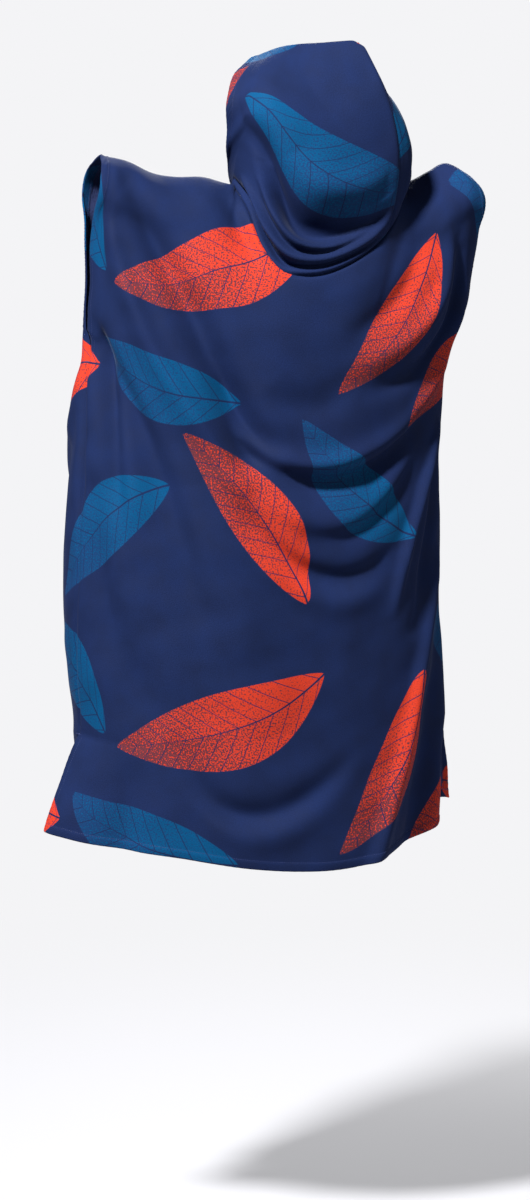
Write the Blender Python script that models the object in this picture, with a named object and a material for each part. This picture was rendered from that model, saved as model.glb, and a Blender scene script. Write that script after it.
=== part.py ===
"""Hooded bath poncho as it hangs while it is worn, its hood held up with both hands.

Metres, +Z up. The garment's front faces -Y and its back +Y, and +X is on the wearer's left.
The origin is midway between the shoulder seams, at the height where they meet the neck.

Four pieces of cloth: a back and a front, each cut as a rectangle with half the neckline, and
the two halves of the hood, which meet in one seam over the head and down the back.
"""

import math

import bpy
import numpy as np

# Cloth
CLOTH = 0.002
SEAM_GAP = 0.0003
NECK_POINT_GAP = 0.0010
NECK_POINT_DROP = 0.025
ROUGHNESS = 0.6

# Cut of the garment
LENGTH = 0.985
PANEL_WIDTH = 0.78
ARMHOLE = 0.30
SLIT = 0.15

# Rows and columns of the cloth grids; crowding above 1 draws the rows towards the upper seam
# of the body, or the neckline of the hood
SHOULDER_ROWS = 11
SHOULDER_CROWDING = 1.45
SIDE_ROWS = 17
SIDE_CROWDING = 1.15
SLIT_ROWS = 3
SLEEVE_COLUMNS = 14
NECK_COLUMNS = 20
HOOD_ROWS = 24
HOOD_CROWDING = 1.35
CURVE_STEPS = 24

# Points closer than this are the same place of a seam, and no seam's mitre is sharper than this
SAME_PLACE = 1e-6
SHARPEST = 0.45
DIAGONAL_KEY = (0.83, 0.47, 0.31)

# Sections of the body from the shoulder seam down: how far the cloth reaches to each side
LEVEL_COLUMNS = ("drop", "left", "right", "back", "front")
LEVELS = (
    (0.000, 0.284, 0.254, 0.000, 0.000),
    (0.010, 0.290, 0.270, 0.028, 0.027),
    (0.035, 0.297, 0.283, 0.060, 0.055),
    (0.080, 0.301, 0.284, 0.090, 0.080),
    (0.150, 0.303, 0.276, 0.120, 0.108),
    (0.220, 0.305, 0.264, 0.136, 0.128),
    (0.300, 0.312, 0.238, 0.146, 0.140),
    (0.400, 0.325, 0.229, 0.152, 0.146),
    (0.550, 0.339, 0.227, 0.162, 0.150),
    (0.700, 0.339, 0.232, 0.172, 0.156),
    (0.840, 0.326, 0.236, 0.178, 0.162),
    (0.985, 0.330, 0.236, 0.184, 0.168),
)

# Half of the gap between the armhole's two edges, and how far the side seams sit behind centre
ARMHOLE_COLUMNS = ("drop", "half_gap")
ARMHOLE_GAP = (
    (0.000, 0.000),
    (0.015, 0.032),
    (0.035, 0.046),
    (0.060, 0.044),
    (0.085, 0.026),
    (0.120, 0.016),
    (0.200, 0.011),
    (0.260, 0.006),
    (0.300, 0.000),
)
SEAM_COLUMNS = ("drop", "left_angle", "right_angle")
SIDE_SEAMS = (
    (0.000, 0.0, 0.0),
    (0.250, 0.0, 0.0),
    (0.420, 10.0, 0.0),
    (0.600, 14.0, 0.0),
    (0.760, 8.0, 0.0),
    (0.985, 0.0, 0.0),
)

# How much higher the cloth lies than at the neck, across the garment from right to left
LIFT_COLUMNS = ("across", "shoulder", "hem")
LIFTS = (
    (-1.00, 0.014, 0.050),
    (-0.94, 0.026, 0.046),
    (-0.85, 0.016, 0.040),
    (-0.75, 0.002, 0.030),
    (-0.62, -0.008, 0.020),
    (-0.30, -0.006, 0.003),
    (0.00, -0.006, 0.003),
    (0.30, -0.006, 0.012),
    (0.45, 0.004, 0.019),
    (0.60, 0.004, 0.026),
    (0.72, 0.009, 0.030),
    (0.86, 0.026, 0.033),
    (1.00, 0.034, 0.038),
)

# Neckline, by the angle round the neck from the left: left 0, back 90, right 180, front 270
NECK_COLUMN_NAMES = ("angle", "x", "y", "z")
NECKLINE = (
    (0.0, 0.090, 0.002, -0.006),
    (22.5, 0.085, 0.058, -0.041),
    (45.0, 0.074, 0.097, -0.095),
    (67.5, 0.046, 0.118, -0.132),
    (90.0, -0.004, 0.122, -0.136),
    (112.5, -0.066, 0.113, -0.113),
    (135.0, -0.120, 0.089, -0.075),
    (157.5, -0.150, 0.052, -0.036),
    (180.0, -0.162, 0.002, -0.008),
    (202.5, -0.149, -0.032, -0.022),
    (225.0, -0.124, -0.057, -0.046),
    (247.5, -0.084, -0.075, -0.070),
    (270.0, -0.038, -0.082, -0.080),
    (292.5, 0.012, -0.076, -0.072),
    (315.0, 0.053, -0.058, -0.046),
    (337.5, 0.078, -0.032, -0.022),
    (360.0, 0.090, 0.002, -0.006),
)

# Hood: its front corner starts over the left of the throat and its back seam at the right nape
HOOD_FRONT_ANGLE = -45.0
HOOD_COLUMN_NAMES = ("place", "x", "y", "z")
HOOD_TOP_SEAM = (
    (0.00, 0.043, -0.050, 0.178),
    (0.30, 0.006, -0.018, 0.194),
    (0.70, -0.048, 0.026, 0.199),
    (1.00, -0.092, 0.050, 0.202),
)
HOOD_BACK_SEAM = (
    (0.00, -0.120, 0.089, -0.075),
    (0.18, -0.129, 0.096, -0.030),
    (0.38, -0.1325, 0.102, 0.020),
    (0.58, -0.129, 0.100, 0.070),
    (0.80, -0.114, 0.085, 0.135),
    (1.00, -0.092, 0.050, 0.202),
)
HOOD_LEFT_OPENING = (
    (0.00, 0.053, -0.058, -0.046),
    (0.25, 0.085, -0.024, 0.006),
    (0.50, 0.103, 0.020, 0.062),
    (0.72, 0.103, 0.026, 0.114),
    (0.88, 0.080, -0.008, 0.153),
    (1.00, 0.043, -0.050, 0.178),
)
HOOD_RIGHT_OPENING = (
    (0.00, 0.053, -0.058, -0.046),
    (0.25, 0.022, -0.106, 0.010),
    (0.50, -0.006, -0.132, 0.070),
    (0.72, -0.008, -0.128, 0.120),
    (0.88, 0.012, -0.098, 0.156),
    (1.00, 0.043, -0.050, 0.178),
)

# Corners of the panels below the side slits: how far each one is drawn out, back and up
CORNER_COLUMNS = ("panel", "seam", "out", "behind", "up")
CORNERS = (
    ("back", "left", 0.050, 0.020, 0.014),
    ("back", "right", -0.024, 0.058, -0.008),
    ("front", "left", -0.014, -0.018, 0.010),
    ("front", "right", 0.028, -0.030, 0.011),
)
CORNER_REACH = 0.11
CORNER_BEND = 0.75

# How far down the body's sections give way to the neckline (all of it from where that has dropped
# so far, and only a share of it at the neck points), the columns fan out to the sides, the
# shoulder's lift turns into the hem's, the folds fade in, and they turn from up to outwards
NECK_BLEND = 0.16
NECK_SETTLED = 0.06
NECK_LEAST = 0.12
NECK_FAN = 0.24
LIFT_CHANGE = 0.5
NECK_ROOT = 0.03
SHOULDER_ROUND = 0.05
LEAST_DEPTH = 0.02
LEVEL_PASSES = 4

# Folds, each along a curve through three places a, b and c of the cloth: how far round the garment
# and along it they are, and the height of the fold there, a ridge above 0 and a trough below
FOLD_COLUMNS = ("round_a", "along_a", "height_a", "round_b", "along_b", "height_b",
                "round_c", "along_c", "height_c", "width")

# Folds of the body: round from the centre back (left seam 0.39, front centre 0.78, right seam
# -0.39 or 1.17), and along by the drop
BODY_FOLDS = (
    # back: troughs that run in from the left armhole, and the ridges beside them
    (0.345, 0.270, -0.008, 0.232, 0.400, -0.018, 0.150, 0.700, 0.000, 0.031),
    (0.300, 0.090, 0.004, 0.210, 0.255, 0.014, 0.094, 0.440, 0.006, 0.024),
    (0.353, 0.480, -0.004, 0.306, 0.660, -0.012, 0.190, 0.810, 0.000, 0.035),
    (0.160, 0.450, 0.002, 0.105, 0.620, 0.014, 0.040, 0.790, 0.002, 0.045),
    # back: the deep trough from the left shoulder, and a shorter one inside it
    (0.262, 0.035, -0.008, 0.158, 0.190, -0.018, 0.080, 0.395, -0.009, 0.026),
    (0.108, 0.270, -0.002, 0.078, 0.345, -0.008, 0.030, 0.402, -0.002, 0.022),
    # back: beside the hood's edge the cloth sinks
    (0.092, 0.010, -0.004, 0.074, 0.070, -0.010, 0.040, 0.130, -0.004, 0.022),
    # back: swags that hang between the shoulders
    (0.140, 0.300, -0.004, 0.030, 0.345, -0.014, -0.060, 0.250, 0.000, 0.024),
    (0.080, 0.385, -0.002, -0.027, 0.425, -0.016, -0.180, 0.355, 0.000, 0.020),
    (0.070, 0.425, 0.000, -0.025, 0.462, 0.009, -0.160, 0.400, 0.000, 0.020),
    (0.100, 0.440, -0.002, -0.005, 0.540, -0.012, -0.150, 0.572, 0.000, 0.018),
    (-0.010, 0.530, 0.000, -0.095, 0.515, -0.010, -0.225, 0.440, -0.002, 0.018),
    (-0.040, 0.495, 0.000, -0.115, 0.475, 0.010, -0.230, 0.400, 0.002, 0.020),
    # back: right shoulder
    (-0.283, 0.060, -0.004, -0.265, 0.220, -0.011, -0.110, 0.370, -0.004, 0.024),
    (-0.220, 0.070, 0.004, -0.205, 0.200, 0.011, -0.080, 0.310, 0.003, 0.022),
    (-0.165, 0.090, -0.003, -0.130, 0.190, -0.009, -0.040, 0.260, 0.000, 0.020),
    # back: the fold from the right armhole, and the one that turns the side towards the slit
    (-0.275, 0.345, 0.006, -0.200, 0.510, 0.012, -0.135, 0.650, 0.000, 0.016),
    (-0.320, 0.400, -0.004, -0.250, 0.545, -0.011, -0.180, 0.670, 0.000, 0.020),
    (-0.285, 0.575, 0.002, -0.180, 0.755, 0.011, -0.115, 1.000, 0.011, 0.018),
    (-0.330, 0.640, -0.003, -0.250, 0.800, -0.015, -0.190, 1.000, -0.020, 0.044),
    # back: low swags and waves of the hem
    (0.180, 0.840, -0.002, 0.075, 0.900, -0.010, -0.050, 0.815, 0.000, 0.018),
    (0.170, 0.870, 0.000, 0.070, 0.935, 0.007, -0.060, 0.860, 0.000, 0.020),
    (0.255, 0.800, 0.000, 0.245, 0.900, -0.006, 0.245, 1.000, -0.010, 0.030),
    # side seams below the armholes
    (0.390, 0.270, -0.005, 0.390, 0.380, -0.011, 0.390, 0.520, -0.002, 0.013),
    (1.170, 0.290, -0.004, 1.170, 0.370, -0.008, 1.170, 0.480, 0.000, 0.014),
    # front: swags from shoulder to shoulder
    (0.500, 0.090, -0.003, 0.780, 0.290, -0.015, 1.060, 0.090, -0.003, 0.022),
    (0.490, 0.170, 0.002, 0.770, 0.370, 0.013, 1.080, 0.160, 0.002, 0.024),
    (0.470, 0.280, -0.004, 0.790, 0.470, -0.013, 1.090, 0.260, -0.004, 0.026),
    (0.700, 0.080, 0.000, 0.725, 0.160, -0.009, 0.700, 0.260, 0.000, 0.016),
    (0.900, 0.080, 0.000, 0.865, 0.170, -0.009, 0.880, 0.270, 0.000, 0.016),
    # front: folds from the armholes
    (0.425, 0.330, 0.006, 0.550, 0.500, 0.014, 0.650, 0.720, 0.000, 0.028),
    (0.480, 0.420, -0.006, 0.590, 0.600, -0.012, 0.680, 0.780, 0.000, 0.028),
    (1.135, 0.330, 0.006, 1.020, 0.520, 0.014, 0.930, 0.750, 0.000, 0.028),
    (1.090, 0.430, -0.006, 0.985, 0.620, -0.012, 0.890, 0.800, 0.000, 0.028),
    # front: waves that fall to the hem
    (0.520, 0.640, 0.000, 0.510, 0.820, -0.012, 0.510, 1.000, -0.016, 0.032),
    (0.640, 0.700, 0.000, 0.645, 0.860, 0.010, 0.650, 1.000, 0.015, 0.030),
    (0.790, 0.620, 0.000, 0.780, 0.820, -0.011, 0.775, 1.000, -0.015, 0.034),
    (0.930, 0.720, 0.000, 0.920, 0.870, 0.011, 0.915, 1.000, 0.016, 0.030),
    (1.060, 0.640, 0.000, 1.060, 0.830, -0.011, 1.055, 1.000, -0.014, 0.032),
)
GIRTH = 2 * PANEL_WIDTH

# Folds of the hood halves: round from the opening to the back seam, and along up from the neckline
HOOD_HEIGHT = 0.34
HOOD_DEPTH = 0.28
HOOD_LEFT_FOLDS = (
    (0.075, 0.175, 0.000, 0.155, 0.094, -0.010, 0.245, 0.078, -0.002, 0.024),
    (0.108, 0.108, -0.003, 0.188, 0.062, -0.018, 0.275, 0.050, -0.006, 0.020),
    (0.095, 0.042, 0.002, 0.172, 0.026, 0.006, 0.258, 0.020, 0.002, 0.018),
    (0.150, 0.170, 0.000, 0.205, 0.135, 0.009, 0.262, 0.115, 0.000, 0.025),
    (0.060, 0.170, 0.000, 0.110, 0.200, 0.010, 0.180, 0.260, 0.000, 0.045),
)
HOOD_RIGHT_FOLDS = (
    (0.050, 0.034, 0.000, 0.140, 0.034, -0.008, 0.230, 0.034, 0.000, 0.016),
    (0.060, 0.066, 0.000, 0.150, 0.066, 0.010, 0.240, 0.060, 0.003, 0.020),
    (0.235, 0.020, 0.003, 0.235, 0.140, 0.016, 0.235, 0.260, 0.002, 0.050),
    (0.080, 0.150, 0.000, 0.130, 0.200, 0.014, 0.180, 0.270, 0.000, 0.050),
)
HOOD_ROOT = 0.010
HOOD_SEAM_FADE = 0.02
HOOD_TOP_FADE = 0.02


def column(table, names, name):
    return np.array([row[names.index(name)] for row in table])


def smooth(x, xs, ys):
    """A smooth curve through a table: cubic between rows, with the slope of its neighbours."""
    slopes = np.gradient(ys, xs)
    x = np.clip(x, xs[0], xs[-1])
    i = np.clip(np.searchsorted(xs, x, side="right") - 1, 0, len(xs) - 2)
    step = xs[i + 1] - xs[i]
    s = (x - xs[i]) / step
    rise = ys[i + 1] - ys[i]
    a = slopes[i] * step - rise
    b = rise - slopes[i + 1] * step
    return ys[i] + s * rise + s * (1 - s) * ((1 - s) * a + s * b)


def ease(x):
    x = np.clip(x, 0.0, 1.0)
    return x * x * (3.0 - 2.0 * x)


def level(name, drop):
    """A section's reach; the square root of the drop rounds the cloth over the shoulder."""
    drops = np.sqrt(column(LEVELS, LEVEL_COLUMNS, "drop"))
    return smooth(np.sqrt(np.maximum(drop, 0.0)), drops, column(LEVELS, LEVEL_COLUMNS, name))


def lift(name, across):
    places = column(LIFTS, LIFT_COLUMNS, "across")
    return smooth(across, places, column(LIFTS, LIFT_COLUMNS, name))


def seam_angle(name, drop):
    drops = column(SIDE_SEAMS, SEAM_COLUMNS, "drop")
    return np.radians(smooth(drop, drops, column(SIDE_SEAMS, SEAM_COLUMNS, name)))


def armhole_gap(drop):
    drops = column(ARMHOLE_GAP, ARMHOLE_COLUMNS, "drop")
    return smooth(drop, drops, column(ARMHOLE_GAP, ARMHOLE_COLUMNS, "half_gap"))


def neckline(angle):
    """A point of the neckline, by the angle round the neck in degrees."""
    angles = column(NECKLINE, NECK_COLUMN_NAMES, "angle")
    turned = np.mod(angle, 360.0)
    axes = [smooth(turned, angles, column(NECKLINE, NECK_COLUMN_NAMES, axis)) for axis in "xyz"]
    return np.stack(axes, axis=-1)


def body_lift(across, drop):
    shoulder, hem = lift("shoulder", across), lift("hem", across)
    return shoulder + (hem - shoulder) * ease(drop / LIFT_CHANGE)


def body_point(angle, drop, side):
    """The cloth without its folds: angle 0 at the left, 180 at the right; side +1 back, -1 front."""
    reach = np.where(side * np.sin(angle) > 0, level("back", drop), level("front", drop))
    left, right = level("left", drop), level("right", drop)
    across = np.cos(angle)
    x = (left - right) / 2 + (left + right) / 2 * across
    gap = armhole_gap(drop)
    y = side * gap + (side * reach - side * gap) * np.sin(angle)
    z = body_lift(across, drop) - drop
    return np.stack([x, y, z], axis=-1)


def rows():
    shoulder = ARMHOLE * np.linspace(0.0, 1.0, SHOULDER_ROWS + 1) ** SHOULDER_CROWDING
    side = np.linspace(0.0, 1.0, SIDE_ROWS + 1) ** SIDE_CROWDING
    side = ARMHOLE + (LENGTH - SLIT - ARMHOLE) * side
    slit = np.linspace(LENGTH - SLIT, LENGTH, SLIT_ROWS + 1)
    return np.concatenate([shoulder, side[1:], slit[1:]])


def normals(points, facing):
    """Unit normals of a grid of points; facing is +1 or -1, whichever points them outwards."""
    across, along = np.gradient(points, axis=1), np.gradient(points, axis=0)
    normal = facing * np.cross(across, along)
    return normal / np.linalg.norm(normal, axis=-1, keepdims=True)


def fold_height(places, folds):
    """The height that a table of folds gives each place: its distance to each curve fades it."""
    height = np.zeros(places.shape[:-1])
    steps = np.linspace(0.0, 1.0, CURVE_STEPS + 1)[:, None]
    for row in folds:
        fold = dict(zip(FOLD_COLUMNS, row))
        a, b, c = (np.array([fold[part + end] for part in ("round_", "along_", "height_")])
                   for end in "abc")
        bend = 2 * b - (a + c) / 2
        curve = (1 - steps) ** 2 * a + 2 * steps * (1 - steps) * bend + steps ** 2 * c
        start, run = curve[:-1], np.diff(curve, axis=0)
        offset = places[..., None, :] - start[:, :2]
        s = np.clip((offset * run[:, :2]).sum(-1) / (run[:, :2] ** 2).sum(-1), 0.0, 1.0)
        gap = np.linalg.norm(offset - s[..., None] * run[:, :2], axis=-1)
        nearest = gap.argmin(axis=-1)[..., None]
        near_gap = np.take_along_axis(gap, nearest, axis=-1)[..., 0]
        peaks = start[:, 2] + s * run[:, 2]
        peak = np.take_along_axis(peaks, nearest, axis=-1)[..., 0]
        height += peak * np.exp(-((near_gap / fold["width"]) ** 2))
    return height


def fold_way(angle, drop, side):
    """The way in which the body's folds rise: straight out of its section, and up on the shoulder."""
    half = (level("left", drop) + level("right", drop)) / 2
    depth = np.where(side * np.sin(angle) > 0, level("back", drop), level("front", drop))
    depth = np.maximum(depth, LEAST_DEPTH)
    way = np.stack([np.cos(angle) / half, side * np.sin(angle) / depth,
                    np.exp(-drop / SHOULDER_ROUND) / depth], axis=-1)
    return way / np.linalg.norm(way, axis=-1, keepdims=True)


def body_grid(side):
    """Each column's top edge point, and the angle and drop of all rows, which fan out below."""
    left, right = level("left", 0.0), level("right", 0.0)
    middle, half = (left - right) / 2, (left + right) / 2
    neck = neckline(np.linspace(0.0, 180.0, NECK_COLUMNS + 1) * side)
    sleeve = np.linspace(0.0, 1.0, SLEEVE_COLUMNS + 1)[:-1]
    left_end, right_end = (math.acos((x - middle) / half) for x in neck[[0, -1], 0])
    edge = np.full((2 * SLEEVE_COLUMNS + NECK_COLUMNS + 1, 3), np.nan)
    edge[SLEEVE_COLUMNS:-SLEEVE_COLUMNS] = neck
    top = np.zeros(len(edge))
    top_angle = np.concatenate([sleeve * left_end, np.zeros(NECK_COLUMNS + 1),
                                math.pi - sleeve[::-1] * (math.pi - right_end)])
    drop = -neck[:, 2]
    for _ in range(LEVEL_PASSES):
        left, right = level("left", drop), level("right", drop)
        across = (2 * neck[:, 0] - left + right) / (left + right)
        drop = body_lift(across, drop) - neck[:, 2]
    drop[[0, -1]] = 0.0
    top[SLEEVE_COLUMNS:-SLEEVE_COLUMNS] = drop
    top_angle[SLEEVE_COLUMNS:-SLEEVE_COLUMNS] = np.arccos(across)
    top_angle[[SLEEVE_COLUMNS, -SLEEVE_COLUMNS - 1]] = left_end, right_end
    even = np.linspace(0.0, math.pi, len(edge))
    drop = top + rows()[:, None] / LENGTH * (LENGTH - top)
    spread = np.clip((drop - top) / NECK_FAN, 0.0, 1.0)
    angle = top_angle + (even - top_angle) * spread * (2.0 - spread)
    return edge, top, angle, drop


def corner_pull(panel, angle, drop):
    """How the corners below the slits are drawn out of the garment's plain outline."""
    below = np.clip((drop - (LENGTH - SLIT)) / SLIT, 0.0, 1.0) ** CORNER_BEND
    pull = np.zeros(drop.shape + (3,))
    for name, seam, out, behind, up in CORNERS:
        if name == panel:
            from_seam = (angle if seam == "left" else math.pi - angle) / math.pi * PANEL_WIDTH
            weight = below * np.exp(-((from_seam / CORNER_REACH) ** 2))
            sign = 1.0 if seam == "left" else -1.0
            pull += weight[..., None] * np.array([sign * out, behind, up])
    return pull


def body_panel(side):
    """A body panel: +1 the back, -1 the front; rows run down, columns from left to right."""
    edge, top, angle, drop = body_grid(side)
    left = seam_angle("left_angle", drop) * side
    right = seam_angle("right_angle", drop) * side
    turned = left + (angle / math.pi) * (math.pi - left - right)
    points = body_point(turned, drop, side)
    shift = np.nan_to_num(edge - points[0])
    blend = NECK_BLEND * np.clip(top / NECK_SETTLED, NECK_LEAST, 1.0)
    fade = 1.0 - ease((drop - top) / blend)
    points = points + shift * fade[..., None]
    points = points + corner_pull("back" if side > 0 else "front", angle, drop)

    share = angle / math.pi
    around = PANEL_WIDTH / 2 + PANEL_WIDTH * (-share if side > 0 else share)
    places = np.stack([around, drop], axis=-1)
    height = sum(fold_height(places + [turn, 0.0], BODY_FOLDS) for turn in (-GIRTH, 0.0, GIRTH))
    height *= ease((drop - top) / NECK_ROOT)
    return points + height[..., None] * fold_way(turned, drop, side)


def edge_curve(table, places):
    stops = column(table, HOOD_COLUMN_NAMES, "place")
    axes = [smooth(places, stops, column(table, HOOD_COLUMN_NAMES, axis)) for axis in "xyz"]
    return np.stack(axes, axis=-1)


def hood_panel(side):
    """Half of the hood between neckline, top seam, opening and back seam; side +1 is the left."""
    across = np.linspace(0.0, 1.0, NECK_COLUMNS + 1)
    up = np.linspace(0.0, 1.0, HOOD_ROWS + 1) ** HOOD_CROWDING
    bottom = neckline(HOOD_FRONT_ANGLE + 180.0 * side * across)
    top = edge_curve(HOOD_TOP_SEAM, across)
    opening = edge_curve(HOOD_LEFT_OPENING if side > 0 else HOOD_RIGHT_OPENING, up)
    seam = edge_curve(HOOD_BACK_SEAM, up)
    q, h = across[None, :, None], up[:, None, None]
    ruled = (1 - h) * bottom[None] + h * top[None] + (1 - q) * opening[:, None] + q * seam[:, None]
    low = (1 - q) * bottom[0] + q * bottom[-1]
    high = (1 - q) * top[0] + q * top[-1]
    points = ruled - (1 - h) * low - h * high

    places = np.stack(np.meshgrid(across * HOOD_DEPTH, up * HOOD_HEIGHT), axis=-1)
    height = fold_height(places, HOOD_LEFT_FOLDS if side > 0 else HOOD_RIGHT_FOLDS)
    height *= ease(places[..., 1] / HOOD_ROOT)
    height *= ease((HOOD_DEPTH - places[..., 0]) / HOOD_SEAM_FADE)
    height *= ease((HOOD_HEIGHT - places[..., 1]) / HOOD_TOP_FADE)
    return points + height[..., None] * normals(points, side)


def share_normals(points, normal):
    """Gives points that meet at a seam one normal, so that both sides thicken the same way."""
    every = np.concatenate([points[name].reshape(-1, 3) for name in points])
    total = np.concatenate([normal[name].reshape(-1, 3) for name in points])
    found = np.unique(np.round(every / SAME_PLACE).astype(int), axis=0, return_inverse=True)
    place = found[1].ravel()
    joined = np.zeros_like(total)
    np.add.at(joined, place, total)
    joined = joined[place]
    joined /= np.linalg.norm(joined, axis=-1, keepdims=True)
    ends = np.cumsum([normal[name].size // 3 for name in points])[:-1]
    parts = np.split(joined, ends)
    return {name: part.reshape(normal[name].shape) for name, part in zip(points, parts)}


def neck_gap(points):
    """The neck seam's gap, wider beside the shoulder seams, where the edges of all pieces meet."""
    return SEAM_GAP + NECK_POINT_GAP * np.exp(-((points[:, 2:] / NECK_POINT_DROP) ** 2))


def draw_in(points, normal, edge, inner, gap):
    """Moves a seam's points towards the next row or column, so that half of its gap opens."""
    way = points[inner] - points[edge]
    way = way / np.linalg.norm(way, axis=-1, keepdims=True)
    along = (way * normal[edge]).sum(axis=-1, keepdims=True)
    opening = np.sqrt(np.clip(1.0 - along ** 2, SHARPEST ** 2, 1.0))
    points[edge] = points[edge] + gap / 2 / opening * way


def garment():
    """Each piece's outer points, the way that each of them thickens, and its facing."""
    points = {
        "back": body_panel(1),
        "front": body_panel(-1),
        "hood_left": hood_panel(1),
        "hood_right": hood_panel(-1),
    }
    facing = {"back": -1, "front": 1, "hood_left": 1, "hood_right": -1}
    own = {name: normals(points[name], facing[name]) for name in points}
    for name in ("hood_left", "hood_right"):
        own[name][-1, -1] = own[name][-2, -2]
    normal = share_normals(points, own)

    seam_rows = slice(SHOULDER_ROWS, SHOULDER_ROWS + SIDE_ROWS + 1)
    neck = slice(SLEEVE_COLUMNS, -SLEEVE_COLUMNS)
    body_seams = (
        (np.s_[0, :SLEEVE_COLUMNS], np.s_[1, :SLEEVE_COLUMNS]),
        (np.s_[0, -SLEEVE_COLUMNS:], np.s_[1, -SLEEVE_COLUMNS:]),
        (np.s_[seam_rows, 0], np.s_[seam_rows, 1]),
        (np.s_[seam_rows, -1], np.s_[seam_rows, -2]),
    )
    hood_seams = (
        (np.s_[-1, :], np.s_[-2, :]),
        (np.s_[:, -1], np.s_[:, -2]),
        (np.s_[[0, -1], 0], np.s_[[0, -1], 1]),
    )
    way = {}
    for name in points:
        body = name in ("back", "front")
        edge, inner = np.s_[0, neck if body else slice(None)], np.s_[1, neck if body else slice(None)]
        draw_in(points[name], normal[name], edge, inner, neck_gap(points[name][edge]))
        for edge, inner in body_seams if body else hood_seams:
            draw_in(points[name], normal[name], edge, inner, SEAM_GAP)
        mitre = (normal[name] * own[name]).sum(axis=-1, keepdims=True)
        way[name] = normal[name] / np.clip(mitre, SHARPEST, 1.0)
    return points, way, facing


def wall(name, points, way, facing, material):
    """A closed wall of cloth between a grid of outer points and its copy, one thickness in.

    The diagonals of its rim are chosen by place, so that the two rims of a seam match.
    """
    count_rows, count_columns = points.shape[:2]
    outer = points.reshape(-1, 3)
    inner = outer - CLOTH * way.reshape(-1, 3)
    index = np.arange(len(outer)).reshape(count_rows, count_columns)
    a, b = index[:-1, :-1].ravel(), index[:-1, 1:].ravel()
    c, d = index[1:, 1:].ravel(), index[1:, :-1].ravel()
    skin = np.concatenate([np.stack([a, b, c], 1), np.stack([a, c, d], 1)])
    rim = np.concatenate([index[0, :-1], index[:-1, -1], index[-1, :0:-1], index[:0:-1, 0]])
    after = np.roll(rim, -1)
    inside = len(outer)
    rising = (outer[after] - outer[rim]) @ np.array(DIAGONAL_KEY) > 0.0
    upper = np.stack([after, rim, np.where(rising, rim, after) + inside], 1)
    lower = np.stack([np.where(rising, after, rim), rim + inside, after + inside], 1)
    faces = np.concatenate([skin, skin[:, ::-1] + inside, upper, lower])
    if facing < 0:
        faces = faces[:, ::-1]
    mesh = bpy.data.meshes.new(name)
    mesh.from_pydata(np.concatenate([outer, inner]).tolist(), [], faces.tolist())
    mesh.materials.append(material)
    mesh.shade_smooth()
    cloth = bpy.data.objects.new(name, mesh)
    bpy.context.collection.objects.link(cloth)
    return cloth


def cloth_material(name, colour):
    material = bpy.data.materials.new(name)
    material.use_nodes = True
    shader = material.node_tree.nodes["Principled BSDF"]
    shader.inputs["Base Color"].default_value = (*colour, 1.0)
    shader.inputs["Roughness"].default_value = ROUGHNESS
    shader.inputs["Metallic"].default_value = 0.0
    return material


COLOURS = {
    "back": (0.026, 0.044, 0.165),
    "front": (0.026, 0.044, 0.165),
    "hood_left": (0.030, 0.050, 0.180),
    "hood_right": (0.030, 0.050, 0.180),
}


def main():
    for old in list(bpy.data.objects):
        bpy.data.objects.remove(old, do_unlink=True)
    points, way, facing = garment()
    for name, colour in COLOURS.items():
        wall(name, points[name], way[name], facing[name], cloth_material(name, colour))


main()
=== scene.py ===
"""Looks of a hooded bath poncho, worn with its hood held up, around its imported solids.

Metres, +Z up. The garment's front faces -Y and its back +Y, and +X is on the wearer's left. The
origin is midway between the shoulder seams, where they meet the neck.

Each panel is a thin shell on the form of its solid, worked out from the same sizes and sections,
with finer creases, turned hems and rolled seams. The cloth carries its own measure: every point
knows how far round the garment it is and how far down the cut, and the print, the nap and the
sewing all follow that.
"""

import math

import bpy
import numpy as np
from mathutils import Matrix, Vector
from mathutils.kdtree import KDTree


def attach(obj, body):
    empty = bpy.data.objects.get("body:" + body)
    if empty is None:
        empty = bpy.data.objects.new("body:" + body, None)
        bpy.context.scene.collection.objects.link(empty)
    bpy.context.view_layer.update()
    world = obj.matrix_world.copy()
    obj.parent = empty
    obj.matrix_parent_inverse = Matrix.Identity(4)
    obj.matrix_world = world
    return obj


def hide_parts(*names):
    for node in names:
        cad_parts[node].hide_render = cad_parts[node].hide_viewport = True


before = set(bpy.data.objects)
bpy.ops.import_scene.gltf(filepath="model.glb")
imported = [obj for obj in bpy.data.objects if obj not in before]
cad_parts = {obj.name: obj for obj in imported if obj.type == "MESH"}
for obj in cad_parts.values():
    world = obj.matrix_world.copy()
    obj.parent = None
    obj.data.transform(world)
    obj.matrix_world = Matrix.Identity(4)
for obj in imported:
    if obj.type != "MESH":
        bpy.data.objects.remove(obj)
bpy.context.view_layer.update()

# ---------------------------------------------------------------- sizes of the cut, in metres

LENGTH = 0.985
PANEL_WIDTH = 0.78
GIRTH = 2 * PANEL_WIDTH
ARMHOLE = 0.30
SLIT = 0.15
HOOD_HEIGHT = 0.34
HOOD_DEPTH = 0.28

CLOTH = 0.0012
HEM = 0.014
STITCH_LINE = 0.012

# ---------------------------------------------------------------- the body's sections

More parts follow.
